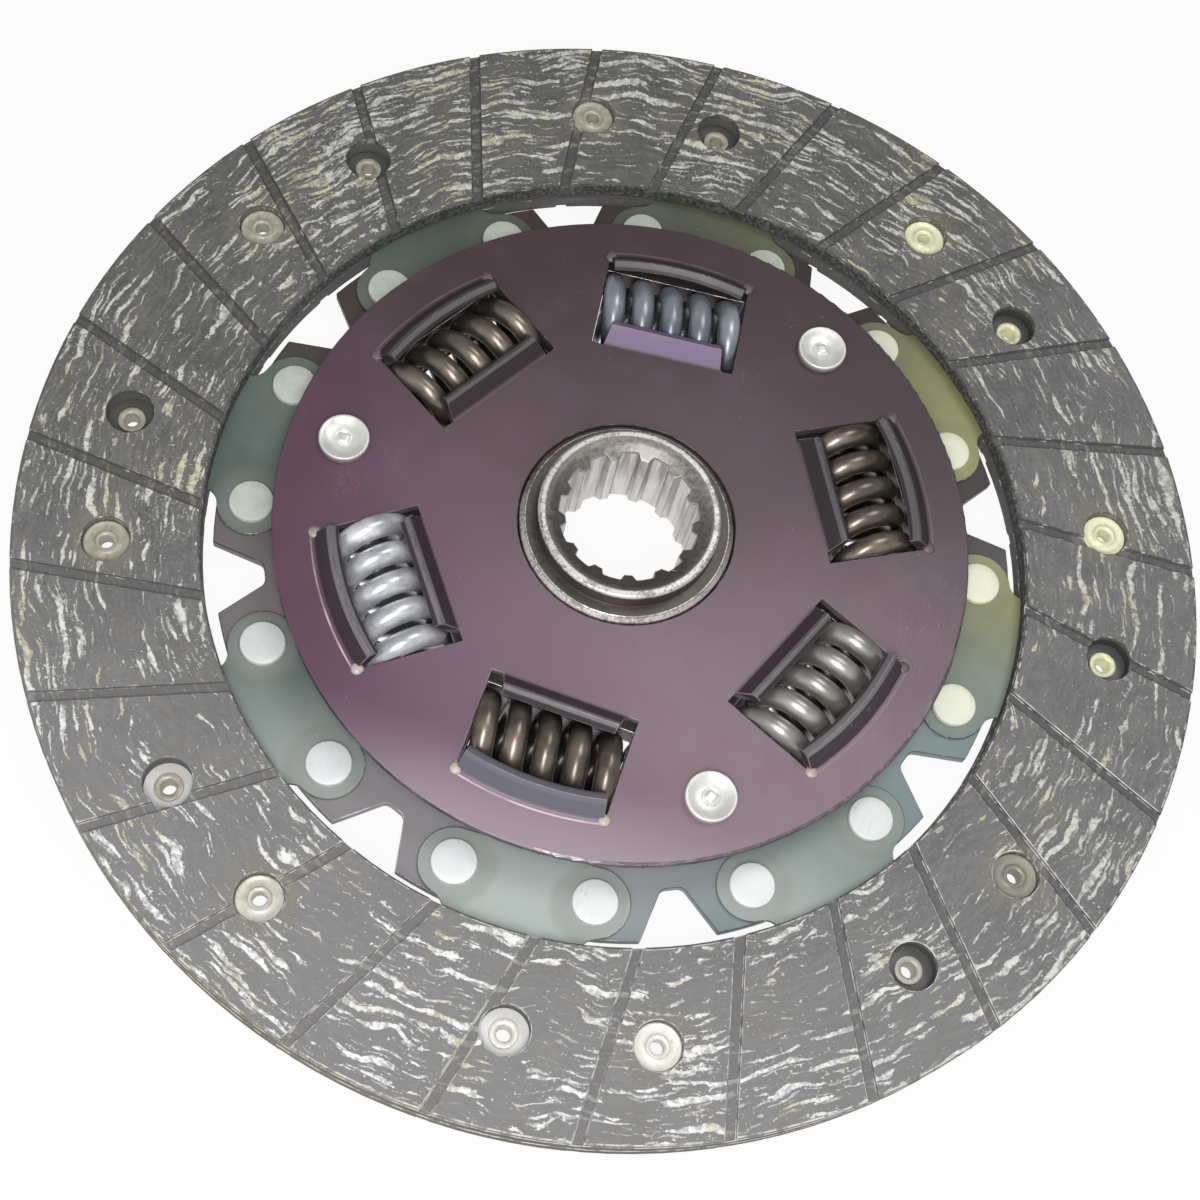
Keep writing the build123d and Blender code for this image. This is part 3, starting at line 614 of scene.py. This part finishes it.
def segment_material():
    """Spring sheet with a thin teal tempering tint, a faint olive ring round each rivet, and tints over
    sides of the disc, among them painted light on the lit side and painted shade on the far side.
    """
    made, bench, shader, place, mm = material("cushion_segment_tint", roughness=0.4, metallic=0.15)
    side = bench.math("ABSOLUTE", bench.wrap(place["Angle"], radians(segment_step)))
    x = bench.times(place["Radius"], bench.math("COSINE", side))
    y = bench.times(place["Radius"], bench.math("SINE", side))
    rivet_x = segment_rivet_circle / MM * cos(radians(segment_rivet_half_angle))
    rivet_y = segment_rivet_circle / MM * sin(radians(segment_rivet_half_angle))
    spot = bench.combine(bench.minus(x, rivet_x), bench.minus(y, rivet_y), 0.0)
    away = bench.add("VectorMath", {0: spot}, operation="LENGTH").outputs[1]
    mottle = bench.noise(mm, 0.07, 3.0, 0.55)
    wavy = bench.plus(away, bench.times(bench.minus(mottle, 0.5), 4.0))
    halo = bench.band(wavy, 5.6, 0.8, 1.8)
    base = bench.mix(bench.rise(mottle, 0.3, 0.7), paint(96, 112, 106), paint(112, 125, 118))
    # Tints over sides of the disc: green, yellow and pale teal to three sides, painted light paler towards
    # the lit side and painted shade darker towards the far side
    base = tint_side(bench, place, base, 8.0, 36.0, 66.0, 0.85, paint(98, 112, 94))
    base = tint_side(bench, place, base, 46.0, 36.0, 66.0, 0.9, paint(166, 163, 110))
    base = tint_side(bench, place, base, 316.0, 42.0, 66.0, 0.9, paint(134, 147, 142))
    base = tint_side(bench, place, base, 268.0, 34.0, 70.0, 0.9, paint(188, 198, 192))
    base = tint_side(bench, place, base, 98.0, 30.0, 68.0, 0.75, paint(84, 88, 76))
    colour = bench.mix(bench.times(halo, 0.22), base, paint(122, 122, 104))
    # Painted light round the rivets on the lit side
    lit_round_rivets = bench.times(bench.rise(wavy, 8.0, 4.5), towards(bench, place, 250.0, 10.0, 60.0))
    colour = bench.tint(colour, lit_round_rivets, 0.5, paint(160, 160, 158))
    # Where the segments lie under the linings, seen in the wells: painted shade away from the light and near
    # white towards it
    covered = bench.rise(place["Radius"], 76.5, 78.0)
    near_light = towards(bench, place, 252.0, 44.0, 90.0)
    hidden = bench.mix(near_light, paint(100, 100, 98), paint(240, 239, 237))
    colour = bench.mix(covered, colour, hidden)
    colour = dusted(bench, mm, colour, 0.9, 0.34, 0.6, paint(200, 206, 196))
    colour = scratched(bench, mm, colour, 0.6, 0.35, paint(196, 204, 196))
    coat(bench, shader, colour, bench.rise(mottle, 0.3, 0.7, 0.34, 0.46))
    bump(bench, shader, bench.noise(mm, 2.4, 3.0, 0.6), 0.00002, 0.4)
    return made


def bare_steel(name, dark, light, roughness, metallic, grain, share):
    """Plain steel with a mottled skin, from dark to light by patches."""
    made, bench, shader, place, mm = material(name, roughness=roughness, metallic=metallic)
    skin = rubbed_metal(bench, mm, grain, share)
    colour = bench.mix(skin["Mask"], dark, light)
    gloss = bench.rise(skin["Height"], 0.3, 0.7, roughness - 0.06, roughness + 0.08)
    coat(bench, shader, colour, gloss)
    bump(bench, shader, skin["Height"], 0.00003, 0.35)
    return made


def segment_rivet_material():
    """Pale plated rivet heads, with fine scratches, and painted highlights towards two sides of the disc."""
    made, bench, shader, place, mm = material("segment_rivet_head", roughness=0.45, metallic=0.2)
    mottle = bench.noise(mm, 0.5, 4.0, 0.6)
    colour = bench.mix(bench.rise(mottle, 0.3, 0.7), paint(206, 213, 198), paint(220, 226, 214))
    # Painted highlights: yellow-white towards one side and white towards the lit side
    colour = tint_side(bench, place, colour, 25.0, 36.0, 62.0, 0.9, paint(255, 254, 226))
    colour = tint_side(bench, place, colour, 272.0, 0.0, 56.0, 0.9, paint(244, 246, 246))
    colour = scratched(bench, mm, colour, 0.9, 0.4, paint(150, 156, 150))
    coat(bench, shader, colour)
    bump(bench, shader, mottle, 0.00004, 0.4)
    return made


def brass_material():
    """Dulled brass with patches of brown grime, painted pale or yellow where the light strikes, and darker
    towards one side.
    """
    made, bench, shader, place, mm = material("tubular_rivet_brass", roughness=0.42, metallic=0.25)
    mottle = bench.noise(mm, 0.8, 4.0, 0.65)
    colour = bench.mix(bench.rise(mottle, 0.3, 0.7), paint(172, 167, 148), paint(204, 199, 180))
    # Painted light: darker towards one side, pale and yellow where the light strikes
    colour = tint_side(bench, place, colour, 334.0, 64.0, 86.0, 0.8, paint(140, 136, 124))
    colour = tint_side(bench, place, colour, 280.0, 58.0, 90.0, 0.9, paint(248, 244, 234))
    colour = tint_side(bench, place, colour, 32.0, 44.0, 80.0, 0.95, paint(255, 254, 214))
    grime = bench.rise(bench.noise(mm, 1.6, 3.0, 0.7), 0.54, 0.68)
    colour = bench.tint(colour, grime, 0.3, paint(116, 110, 88))
    coat(bench, shader, colour, bench.rise(mottle, 0.3, 0.7, 0.36, 0.5))
    bump(bench, shader, mottle, 0.00005, 0.5)
    return made


def spring_material(name, dark, light, roughness, metallic, side_dark, clear_at=-0.5, dark_at=6.5):
    """Spring wire with a patchy skin, painted shade deep in the window, and darker over one side of each
    coil.
    """
    made, bench, shader, place, mm = material(name, roughness=roughness, metallic=metallic)
    skin = bench.noise(mm, 0.22, 3.0, 0.5)
    fine = bench.noise(mm, 1.1, 2.0, 0.5)
    colour = bench.mix(bench.rise(skin, 0.32, 0.68), dark, light)
    # Painted shade: darker deep in the window
    deep = bench.rise(place["Height"], 8.0, 3.0)
    colour = bench.tint(colour, deep, 0.6, paint(40, 37, 36))
    # Darker over one side of each coil: painted shade on the side away from the light for the bronze and
    # gunmetal wires, the inner side for the blue-grey wire
    aside = bench.times(bench.minus(place["Radius"], spring_circle / MM), place["Along"])
    colour = bench.mix(bench.times(bench.rise(aside, clear_at, dark_at), side_dark), colour, paint(44, 39, 37))
    gloss = bench.rise(fine, 0.3, 0.75, roughness - 0.01, roughness + 0.04)
    coat(bench, shader, colour, gloss)
    return made


def bead_material():
    """Pale metal beads in the reliefs at the lips' ends, painted darker away from the light."""
    made, bench, shader, place, mm = material("relief_bead", roughness=0.5, metallic=0.2)
    # Painted light: paler towards the lit side
    light_side = towards(bench, place, 262.0, 8.0, 40.0)
    colour = bench.mix(light_side, paint(112, 100, 102), paint(206, 192, 182))
    mottle = bench.noise(mm, 0.7, 3.0, 0.6)
    colour = bench.mix(bench.rise(mottle, 0.45, 0.7, 0.0, 0.4), colour, paint(160, 140, 138))
    coat(bench, shader, colour)
    bump(bench, shader, mottle, 0.00004, 0.4)
    return made


def hub_material():
    """Forged hub: grey skin, with its end face and collar edge bright and speckled, the collar edge painted
    brighter towards the light, and its lead-in cone painted lighter on the side facing the light.
    """
    made, bench, shader, place, mm = material("hub_forged_steel", roughness=0.42, metallic=0.75)
    radius = place["Radius"]
    height = place["Height"]
    skin = rubbed_metal(bench, mm, 0.9, 0.5)
    colour = bench.mix(skin["Mask"], paint(100, 94, 90), paint(128, 122, 118))
    outside = bench.rise(radius, 14.2, 14.9)
    wall = bench.times(outside, bench.rise(height, 13.9, 13.6))
    colour = bench.tint(colour, wall, 0.6, paint(96, 88, 87))
    end_ring = bench.times(bench.band(radius, 15.75, 0.5, 0.45), bench.rise(height, 13.3, 13.9))
    collar_edge = bench.times(bench.band(radius, 18.95, 0.35, 0.2), bench.rise(height, 8.4, 9.0))
    # Painted highlight: the collar edge brighter towards the light
    lit_edge = towards(bench, place, 275.0, -16.0, 16.0)
    collar_edge = bench.times(collar_edge, bench.rise(lit_edge, 0.0, 1.0, 0.25, 1.0))
    bright = bench.most(end_ring, collar_edge)
    flecks = rubbed_metal(bench, mm, 0.6, 0.75)
    bright = bench.times(bright, bench.rise(flecks["Mask"], 0.0, 1.0, 0.45, 1.0))
    colour = bench.mix(bright, colour, paint(236, 232, 226))
    splined = bench.times(bench.rise(radius, 12.9, 12.6), bench.rise(height, 12.6, 12.2))
    drawn_place = bench.combine(
        bench.times(place["Across"], 9.0),
        bench.times(place["Along"], 9.0),
        bench.times(height, 0.07),
    )
    drawn = bench.noise(drawn_place, 1.0, 2.0, 0.5)
    spline_colour = bench.mix(bench.rise(drawn, 0.32, 0.66), paint(168, 160, 158), paint(238, 233, 230))
    deep = bench.rise(height, 9.0, 0.0)
    spline_colour = bench.tint(spline_colour, deep, 0.5, paint(248, 246, 244))
    colour = bench.tint(colour, splined, 0.85, spline_colour)
    cone = bench.times(bench.rise(radius, 15.2, 14.8), bench.rise(height, 11.9, 12.3))
    cone = bench.times(cone, bench.rise(skin["Height"], 0.35, 0.65, 0.3, 0.75))
    # Painted light on the side of the lead-in cone that faces the light
    upper_side = towards(bench, place, 80.0, -6.0, 14.0)
    cone_colour = bench.mix(upper_side, paint(110, 103, 98), paint(172, 166, 160))
    colour = bench.mix(cone, colour, cone_colour)
    coat(bench, shader, colour, bench.rise(skin["Height"], 0.3, 0.7, 0.34, 0.5))
    relief = bench.plus(skin["Height"], bench.times(flecks["Height"], 0.5))
    bump(bench, shader, relief, 0.00006, 0.5)
    return made


def hub_edge_material():
    """The hub's edges: rubbed bright, except in the corner between boss and collar."""
    made, bench, shader, place, mm = material("hub_rubbed_edge", roughness=0.38, metallic=0.7)
    skin = rubbed_metal(bench, mm, 0.6, 0.7)
    colour = bench.mix(skin["Mask"], paint(150, 146, 142), paint(232, 228, 222))
    at_corner = bench.band(place["Radius"], 16.6, 0.5, 0.2)
    corner = bench.times(at_corner, bench.rise(place["Height"], 13.0, 12.0))
    colour = bench.mix(corner, colour, paint(84, 77, 75))
    teeth = bench.rise(place["Radius"], 13.2, 12.8)
    colour = bench.tint(colour, teeth, 0.6, paint(150, 143, 140))
    coat(bench, shader, colour)
    bump(bench, shader, skin["Height"], 0.00003, 0.35)
    return made


front_lining = lining_material("front_lining_wound", paint(56, 54, 54), front_rivet_angle)
rear_lining = lining_material("rear_lining_wound", paint(112, 109, 106), rear_rivet_angle)
lining_edge = lining_edge_material()
plate_coat = plate_material()
disc_coat = disc_plate_material()
worn_and_lit_edge = worn_and_lit_edge_material()
segment_tint = segment_material()
segment_edge = bare_steel(
    "segment_cut_edge", paint(96, 104, 96), paint(190, 200, 190), 0.4, 0.4, 1.0, 0.4
)
segment_rivet_skin = segment_rivet_material()
brass = brass_material()
zinc = bare_steel("stop_pin_zinc", paint(238, 237, 231), paint(248, 247, 242), 0.34, 0.45, 3.0, 0.5)
hub_steel = hub_material()
hub_edge = hub_edge_material()
ground_end = bare_steel(
    "spring_ground_end", paint(120, 122, 124), paint(170, 172, 172), 0.4, 0.8, 0.5, 0.6
)
washer_steel = bare_steel(
    "spring_washer_steel", paint(88, 86, 88), paint(128, 126, 128), 0.4, 0.8, 1.1, 0.5
)
washer_resin = bare_steel(
    "friction_washer_resin", paint(52, 48, 46), paint(78, 72, 68), 0.7, 0.0, 0.8, 0.4
)
bronze_wire = spring_material(
    "spring_wire_bronze", paint(114, 103, 94), paint(156, 144, 131), 0.30, 0.8, 0.75
)
blue_wire = spring_material(
    "spring_wire_blue_grey", paint(162, 168, 179), paint(190, 195, 205), 0.32, 0.65, 0.6,
    clear_at=2.0, dark_at=-5.0,
)
silver_wire = spring_material(
    "spring_wire_silver", paint(198, 200, 206), paint(252, 252, 254), 0.28, 0.55, 0.0
)
gunmetal_wire = spring_material(
    "spring_wire_gunmetal", paint(160, 156, 150), paint(192, 188, 182), 0.32, 0.75, 0.35
)
relief_bead = bead_material()

# ---------------------------------------------------------------- modelling aids


def put_down():
    """Leave edit mode with nothing selected."""
    if bpy.context.object and bpy.context.object.mode == "EDIT":
        bpy.ops.object.mode_set(mode="OBJECT")
    bpy.ops.object.select_all(action="DESELECT")


def take_up(piece):
    """Select one piece alone."""
    put_down()
    piece.select_set(True)
    bpy.context.view_layer.objects.active = piece


def set_in_place():
    """Put the object's place, turn and size into its mesh."""
    bpy.ops.object.transform_apply(location=True, rotation=True, scale=True)


def smooth(piece, degrees):
    """Smooth the piece, apart from edges that turn by more than this."""
    take_up(piece)
    bpy.ops.object.shade_smooth_by_angle(angle=radians(degrees))


def join_to(piece):
    """Join what is selected to one piece."""
    piece.select_set(True)
    bpy.context.view_layer.objects.active = piece
    bpy.ops.object.join()


def finish_shape(piece, edge_width, edge_angle, smooth_angle, edge_slot=-1, rows=2):
    """Round the sharp edges of a piece, give them their own material, and smooth the rest."""
    take_up(piece)
    rounding = piece.modifiers.new("rounded_edges", "BEVEL")
    rounding.width = edge_width
    rounding.segments = rows
    rounding.limit_method = "ANGLE"
    rounding.angle_limit = radians(edge_angle)
    rounding.use_clamp_overlap = False
    rounding.material = edge_slot
    bpy.ops.object.modifier_apply(modifier=rounding.name)
    bpy.ops.object.shade_smooth_by_angle(angle=radians(smooth_angle))
    flats = piece.modifiers.new("flat_faces_kept", "WEIGHTED_NORMAL")
    flats.keep_sharp = True
    flats.weight = 80
    bpy.ops.object.modifier_apply(modifier=flats.name)


def settle(piece, body, node):
    """Put a finished piece in the place of its CAD node."""
    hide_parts(node)
    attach(piece, body)


def stand(x_axis, y_axis, z_axis, place):
    """The matrix that turns a thing to three axes and puts it in its place."""
    stance = Matrix.Identity(4)
    for row in range(3):
        stance[row][0] = x_axis[row]
        stance[row][1] = y_axis[row]
        stance[row][2] = z_axis[row]
        stance[row][3] = place[row]
    return stance


def dress(node, name, finish, edge_finish, body, edge_width):
    """A copy of a CAD node with its doubles merged and its edges rounded, in its place."""
    take_up(frame["nodes"][node])
    bpy.ops.object.duplicate()
    piece = bpy.context.object
    piece.name = name
    piece.parent = None
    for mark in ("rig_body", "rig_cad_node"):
        if mark in piece:
            del piece[mark]
    piece.data.materials.clear()
    piece.data.materials.append(finish)
    piece.data.materials.append(edge_finish)
    bpy.ops.object.mode_set(mode="EDIT")
    bpy.ops.mesh.select_all(action="SELECT")
    bpy.ops.mesh.remove_doubles(threshold=0.015 * MM)
    bpy.ops.mesh.dissolve_limited(angle_limit=radians(0.4))
    put_down()
    finish_shape(piece, edge_width, 34.0, 46.0, edge_slot=1)
    settle(piece, body, node)
    return piece


def draw_out(steps):
    """Extrude the selected loop along the axis, step by step, each with its own radius."""
    radius, level = steps[0]
    for next_radius, next_level in steps[1:]:
        move = {"value": (0.0, 0.0, next_level - level)}
        bpy.ops.mesh.extrude_region_move(TRANSFORM_OT_translate=move)
        share = next_radius / radius
        centre = (0.0, 0.0, next_level)
        bpy.ops.transform.resize(value=(share, share, 1.0), center_override=centre)
        radius, level = next_radius, next_level


def turned(name, steps, sides, hollow=False):
    """A turned piece on the axis, drawn out through an outline's radii and levels in millimetres."""
    put_down()
    steps = [(radius * MM, level * MM) for radius, level in steps]
    radius, level = steps[0]
    bpy.ops.mesh.primitive_circle_add(
        vertices=sides, radius=radius, fill_type="NOTHING" if hollow else "NGON", location=(0, 0, level)
    )
    piece = bpy.context.object
    piece.name = name
    set_in_place()
    bpy.ops.object.mode_set(mode="EDIT")
    bpy.ops.mesh.select_all(action="SELECT")
    draw_out(steps)
    bpy.ops.mesh.select_all(action="SELECT")
    if hollow:
        bpy.ops.mesh.remove_doubles(threshold=0.002 * MM)
    bpy.ops.mesh.normals_make_consistent(inside=False)
    put_down()
    return piece


def set_round(piece, name, circle, angles):
    """Copies of one piece on a circle, joined into a single piece."""
    copies = []
    for angle in angles:
        take_up(piece)
        bpy.ops.object.duplicate()
        copy = bpy.context.object
        copy.location = (circle * cos(radians(angle)), circle * sin(radians(angle)), 0.0)
        copy.rotation_euler = (0.0, 0.0, radians(angle))
        set_in_place()
        copies.append(copy)
    bpy.data.objects.remove(piece)
    put_down()
    for copy in copies:
        copy.select_set(True)
    bpy.context.view_layer.objects.active = copies[0]
    if len(copies) > 1:
        bpy.ops.object.join()
    copies[0].name = name
    return copies[0]


# ---------------------------------------------------------------- plates, linings, hub

for end, lining in (("front", front_lining), ("rear", rear_lining)):
    dress(f"{end}_facing", f"{end}_lining_ring", lining, lining_edge,
          "disc", lining_edge_width)
front_plate = dress("retaining_plate", "retaining_plate_dressed", plate_coat, worn_and_lit_edge,
                    "disc", plate_edge_width)
rear_plate = dress("disc_plate", "disc_plate_dressed", disc_coat, worn_and_lit_edge,
                   "disc", plate_edge_width)
lip_ends = [angle + side * lip_half_angle for angle in window_angles for side in (-1, 1)]
for plate, level in ((front_plate, front_bead_level), (rear_plate, rear_bead_level)):
    put_down()
    bpy.ops.mesh.primitive_uv_sphere_add(
        segments=20, ring_count=12, radius=bead_radius, location=(0, 0, level)
    )
    bead = bpy.context.object
    bead.scale = (1.0, 1.0, 0.5)
    set_in_place()
    beads = set_round(bead, "relief_beads", lip_end_circle, lip_ends)
    beads.data.materials.append(relief_bead)
    take_up(beads)
    bpy.ops.object.shade_smooth()
    join_to(plate)
dress("hub", "hub_dressed", hub_steel, hub_edge, "hub", hub_edge_width)
for number in range(1, segment_count + 1):
    dress(f"cushion_segment_{number}", f"cushion_segment_{number}_dressed",
          segment_tint, segment_edge, "disc", segment_edge_width)

for node, finish in (
    ("rear_friction_washer", washer_resin),
    ("front_friction_washer", washer_resin),
    ("spring_washer", washer_steel),
):
    for material_slot in frame["nodes"][node].material_slots:
        material_slot.material = finish

# ---------------------------------------------------------------- rivets and stop pins

segment_rivet_outline = [
    (1.2, -3.4), (3.1, -3.35), (3.5, -3.1), (3.6, -2.5), (2.6, -2.5), (2.6, 0.2),
    (4.0, 0.2), (4.0, 0.86), (3.88, 1.02), (3.65, 1.08), (2.2, 1.1), (0.4, 1.1),
]
segment_rivet = turned("segment_rivet", segment_rivet_outline, 48)
angles = [
    segment_step * k + side * segment_rivet_half_angle for k in range(segment_count) for side in (-1, 1)
]
segment_rivets = set_round(segment_rivet, "segment_rivet_set", segment_rivet_circle, angles)
segment_rivets.data.materials.append(segment_rivet_skin)
smooth(segment_rivets, 38)
settle(segment_rivets, "disc", "segment_rivets")


def tubular_rivets(name, way, first_angle, node):
    """Rivets with a pressed head on one side and a rolled tail on the other."""
    seat = way * tubular_rivet_seat / MM
    steps = [
        (1.25, 0.62), (1.55, 0.86), (1.85, 0.86), (2.05, 0.62), (2.3, 0.5), (3.4, 0.46),
        (3.7, 0.62), (3.92, 0.64), (4.1, 0.48), (4.1, 0.0), (2.0, 0.0), (2.0, -2.3),
        (2.15, -2.34), (2.5, -2.55), (2.42, -2.82), (2.1, -2.9), (1.6, -2.86), (1.3, -2.6),
        (1.25, -2.2), (1.25, 0.62),
    ]
    outline = [(radius, seat + way * level) for radius, level in steps]
    rivet = turned("tubular_rivet", outline, 40, hollow=True)
    angles = [first_angle + segment_step * k for k in range(segment_count)]
    ring = set_round(rivet, name, facing_rivet_circle, angles)
    ring.data.materials.append(brass)
    smooth(ring, 50)
    settle(ring, "disc", node)


tubular_rivets("front_tubular_rivets", 1, front_rivet_angle, "front_facing_rivets")
tubular_rivets("rear_tubular_rivets", -1, rear_rivet_angle, "rear_facing_rivets")

stop_pin_outline = [
    (0.5, -3.9), (1.8, -3.9), (3.2, -4.05), (3.9, -4.2), (4.3, -4.05), (4.5, -3.7), (4.5, -2.5),
    (3.0, -2.5), (3.0, -0.5), (4.0, -0.5), (4.0, 7.6), (3.0, 7.6), (3.0, 9.6), (4.5, 9.6),
    (4.5, 11.0), (4.44, 11.18), (4.3, 11.27), (4.1, 11.24), (3.6, 11.0), (3.0, 10.74),
    (2.4, 10.58), (1.8, 10.52), (1.5, 10.5), (1.4, 10.3), (0.4, 10.3),
]
nub_size = 2.4 * MM
nub_level = 9.76 * MM
for number, angle in enumerate(pin_angles, start=1):
    pin = turned("stop_pin", stop_pin_outline, 56)
    put_down()
    nub_turn = 0.35 + 0.6 * number
    bpy.ops.mesh.primitive_cube_add(
        size=nub_size, location=(0, 0, nub_level), rotation=(0, 0, nub_turn)
    )
    nub = bpy.context.object
    set_in_place()
    finish_shape(nub, 0.75 * MM, 30.0, 40.0, rows=6)
    join_to(pin)
    pin = set_round(pin, f"stop_pin_{number}_dressed", pin_circle, [angle])
    pin.data.materials.clear()
    pin.data.materials.append(zinc)
    smooth(pin, 38)
    settle(pin, "disc", f"stop_pin_{number}")

# ---------------------------------------------------------------- damper springs


def wound_spring():
    """One spring along Z: round wire wound on a helix, its ends ground flat."""
    put_down()
    bpy.ops.mesh.primitive_circle_add(
        vertices=24, radius=wire_radius, fill_type="NOTHING",
        location=(coil_radius, 0, -coil_height / 2), rotation=(pi / 2, 0, 0),
    )
    spring = bpy.context.object
    set_in_place()
    winding = spring.modifiers.new("winding", "SCREW")
    winding.axis = "Z"
    winding.angle = 2 * pi * coil_height / coil_pitch
    winding.screw_offset = coil_height
    winding.steps = 220
    winding.render_steps = 220
    winding.use_normal_calculate = True
    bpy.ops.object.modifier_apply(modifier=winding.name)
    bpy.ops.object.mode_set(mode="EDIT")
    for end in (-1, 1):
        bpy.ops.mesh.select_all(action="SELECT")
        bpy.ops.mesh.bisect(
            plane_co=(0, 0, end * spring_length / 2), plane_no=(0, 0, end),
            use_fill=True, clear_outer=True, clear_inner=False,
        )
    bpy.ops.mesh.select_all(action="SELECT")
    bpy.ops.mesh.remove_doubles(threshold=0.003 * MM)
    bpy.ops.mesh.normals_make_consistent(inside=False)
    put_down()
    return spring


pattern_spring = wound_spring()
wires = (bronze_wire, blue_wire, bronze_wire, silver_wire, bronze_wire, gunmetal_wire)
for number, (angle, wire) in enumerate(zip(window_angles, wires), start=1):
    outward = Vector((cos(radians(angle)), sin(radians(angle)), 0.0))
    tangent = Vector((-sin(radians(angle)), cos(radians(angle)), 0.0))
    downward = tangent.cross(outward)
    centre = spring_circle * outward + Vector((0.0, 0.0, spring_middle))
    take_up(pattern_spring)
    bpy.ops.object.duplicate()
    spring = bpy.context.object
    spring.name = f"damper_spring_{number}_wound"
    spring.matrix_world = stand(outward, downward, tangent, centre)
    set_in_place()
    spring.data.materials.append(wire)
    spring.data.materials.append(ground_end)
    for face in spring.data.polygons:
        if abs(abs((face.center - centre).dot(tangent)) - spring_length / 2) < 0.01 * MM:
            face.material_index = 1
    smooth(spring, 40)
    settle(spring, "springs", f"damper_spring_{number}")
    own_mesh(spring)
bpy.data.objects.remove(pattern_spring)

# ---------------------------------------------------------------- floor, light, camera

put_down()
bpy.ops.mesh.primitive_plane_add(size=floor_size, location=(0, 0, floor_level))
floor = bpy.context.object
floor.name = "floor"
floor_paint = bpy.data.materials.new("floor_white")
floor_paint.use_nodes = True
bench = Bench(floor_paint.node_tree)
for node in list(floor_paint.node_tree.nodes):
    floor_paint.node_tree.nodes.remove(node)
paper = bench.add("BsdfDiffuse", {"Color": (0.86, 0.86, 0.86, 1.0)}).outputs[0]
glow = bench.add("Emission", {"Color": (1.0, 1.0, 1.0, 1.0), "Strength": 1.0}).outputs[0]
rays = bench.add("LightPath", {}).outputs
seen = bench.most(rays["Is Camera Ray"], rays["Is Glossy Ray"])
seen = bench.most(seen, rays["Is Transmission Ray"])
glow_share = bench.times(seen, 0.92)
surface = bench.add("MixShader", {0: glow_share, 1: paper, 2: glow}).outputs[0]
bench.feed(surface, bench.add("OutputMaterial", {}).inputs["Surface"])
floor.data.materials.append(floor_paint)

world = bpy.data.worlds.new("studio")
bpy.context.scene.world = world
world.use_nodes = True
bench = Bench(world.node_tree)
backdrop = world.node_tree.nodes["Background"]
way = bench.add("TexCoord", {}).outputs["Generated"]
way_along = bench.add("SeparateXYZ", {0: way}).outputs[1]
bench.feed((0.95, 0.97, 1.0, 1.0), backdrop.inputs["Color"])
bench.feed(bench.rise(way_along, -0.8, 0.8, 0.66, 0.20), backdrop.inputs["Strength"])


def soft_light(name, place, across, along, power):
    """An oval soft light that faces the disc."""
    lamp = bpy.data.lights.new(name, "AREA")
    lamp.shape = "ELLIPSE"
    lamp.size = across
    lamp.size_y = along
    lamp.energy = power
    holder = bpy.data.objects.new(name, lamp)
    bpy.context.scene.collection.objects.link(holder)
    holder.location = place
    holder.rotation_euler = (-Vector(place)).to_track_quat("-Z", "Y").to_euler()


soft_light("key_light", (0.0, -0.20, 0.33), 0.09, 0.22, 0.74)
soft_light("overhead_light", (0.17, 0.24, 0.62), 0.30, 0.30, 0.7)

camera_place = Vector((-4.842, -154.090, 327.768)) * MM
look_point = Vector((-0.807, -13.422, 4.0)) * MM
camera_roll = radians(17.665)
forward = (look_point - camera_place).normalized()
level_right = forward.cross(Vector((0, 0, 1))).normalized()
level_up = level_right.cross(forward)
right = cos(camera_roll) * level_right + sin(camera_roll) * level_up
up = right.cross(forward)
camera_data = bpy.data.cameras.new("camera")
camera_data.lens = 59.515
camera_data.sensor_width = 36.0
camera_data.clip_start = 0.01
camera_data.clip_end = 20.0
camera = bpy.data.objects.new("camera", camera_data)
bpy.context.scene.collection.objects.link(camera)
camera.matrix_world = stand(right, up, -forward, camera_place)
bpy.context.scene.camera = camera
bpy.context.scene.view_settings.view_transform = "Standard"
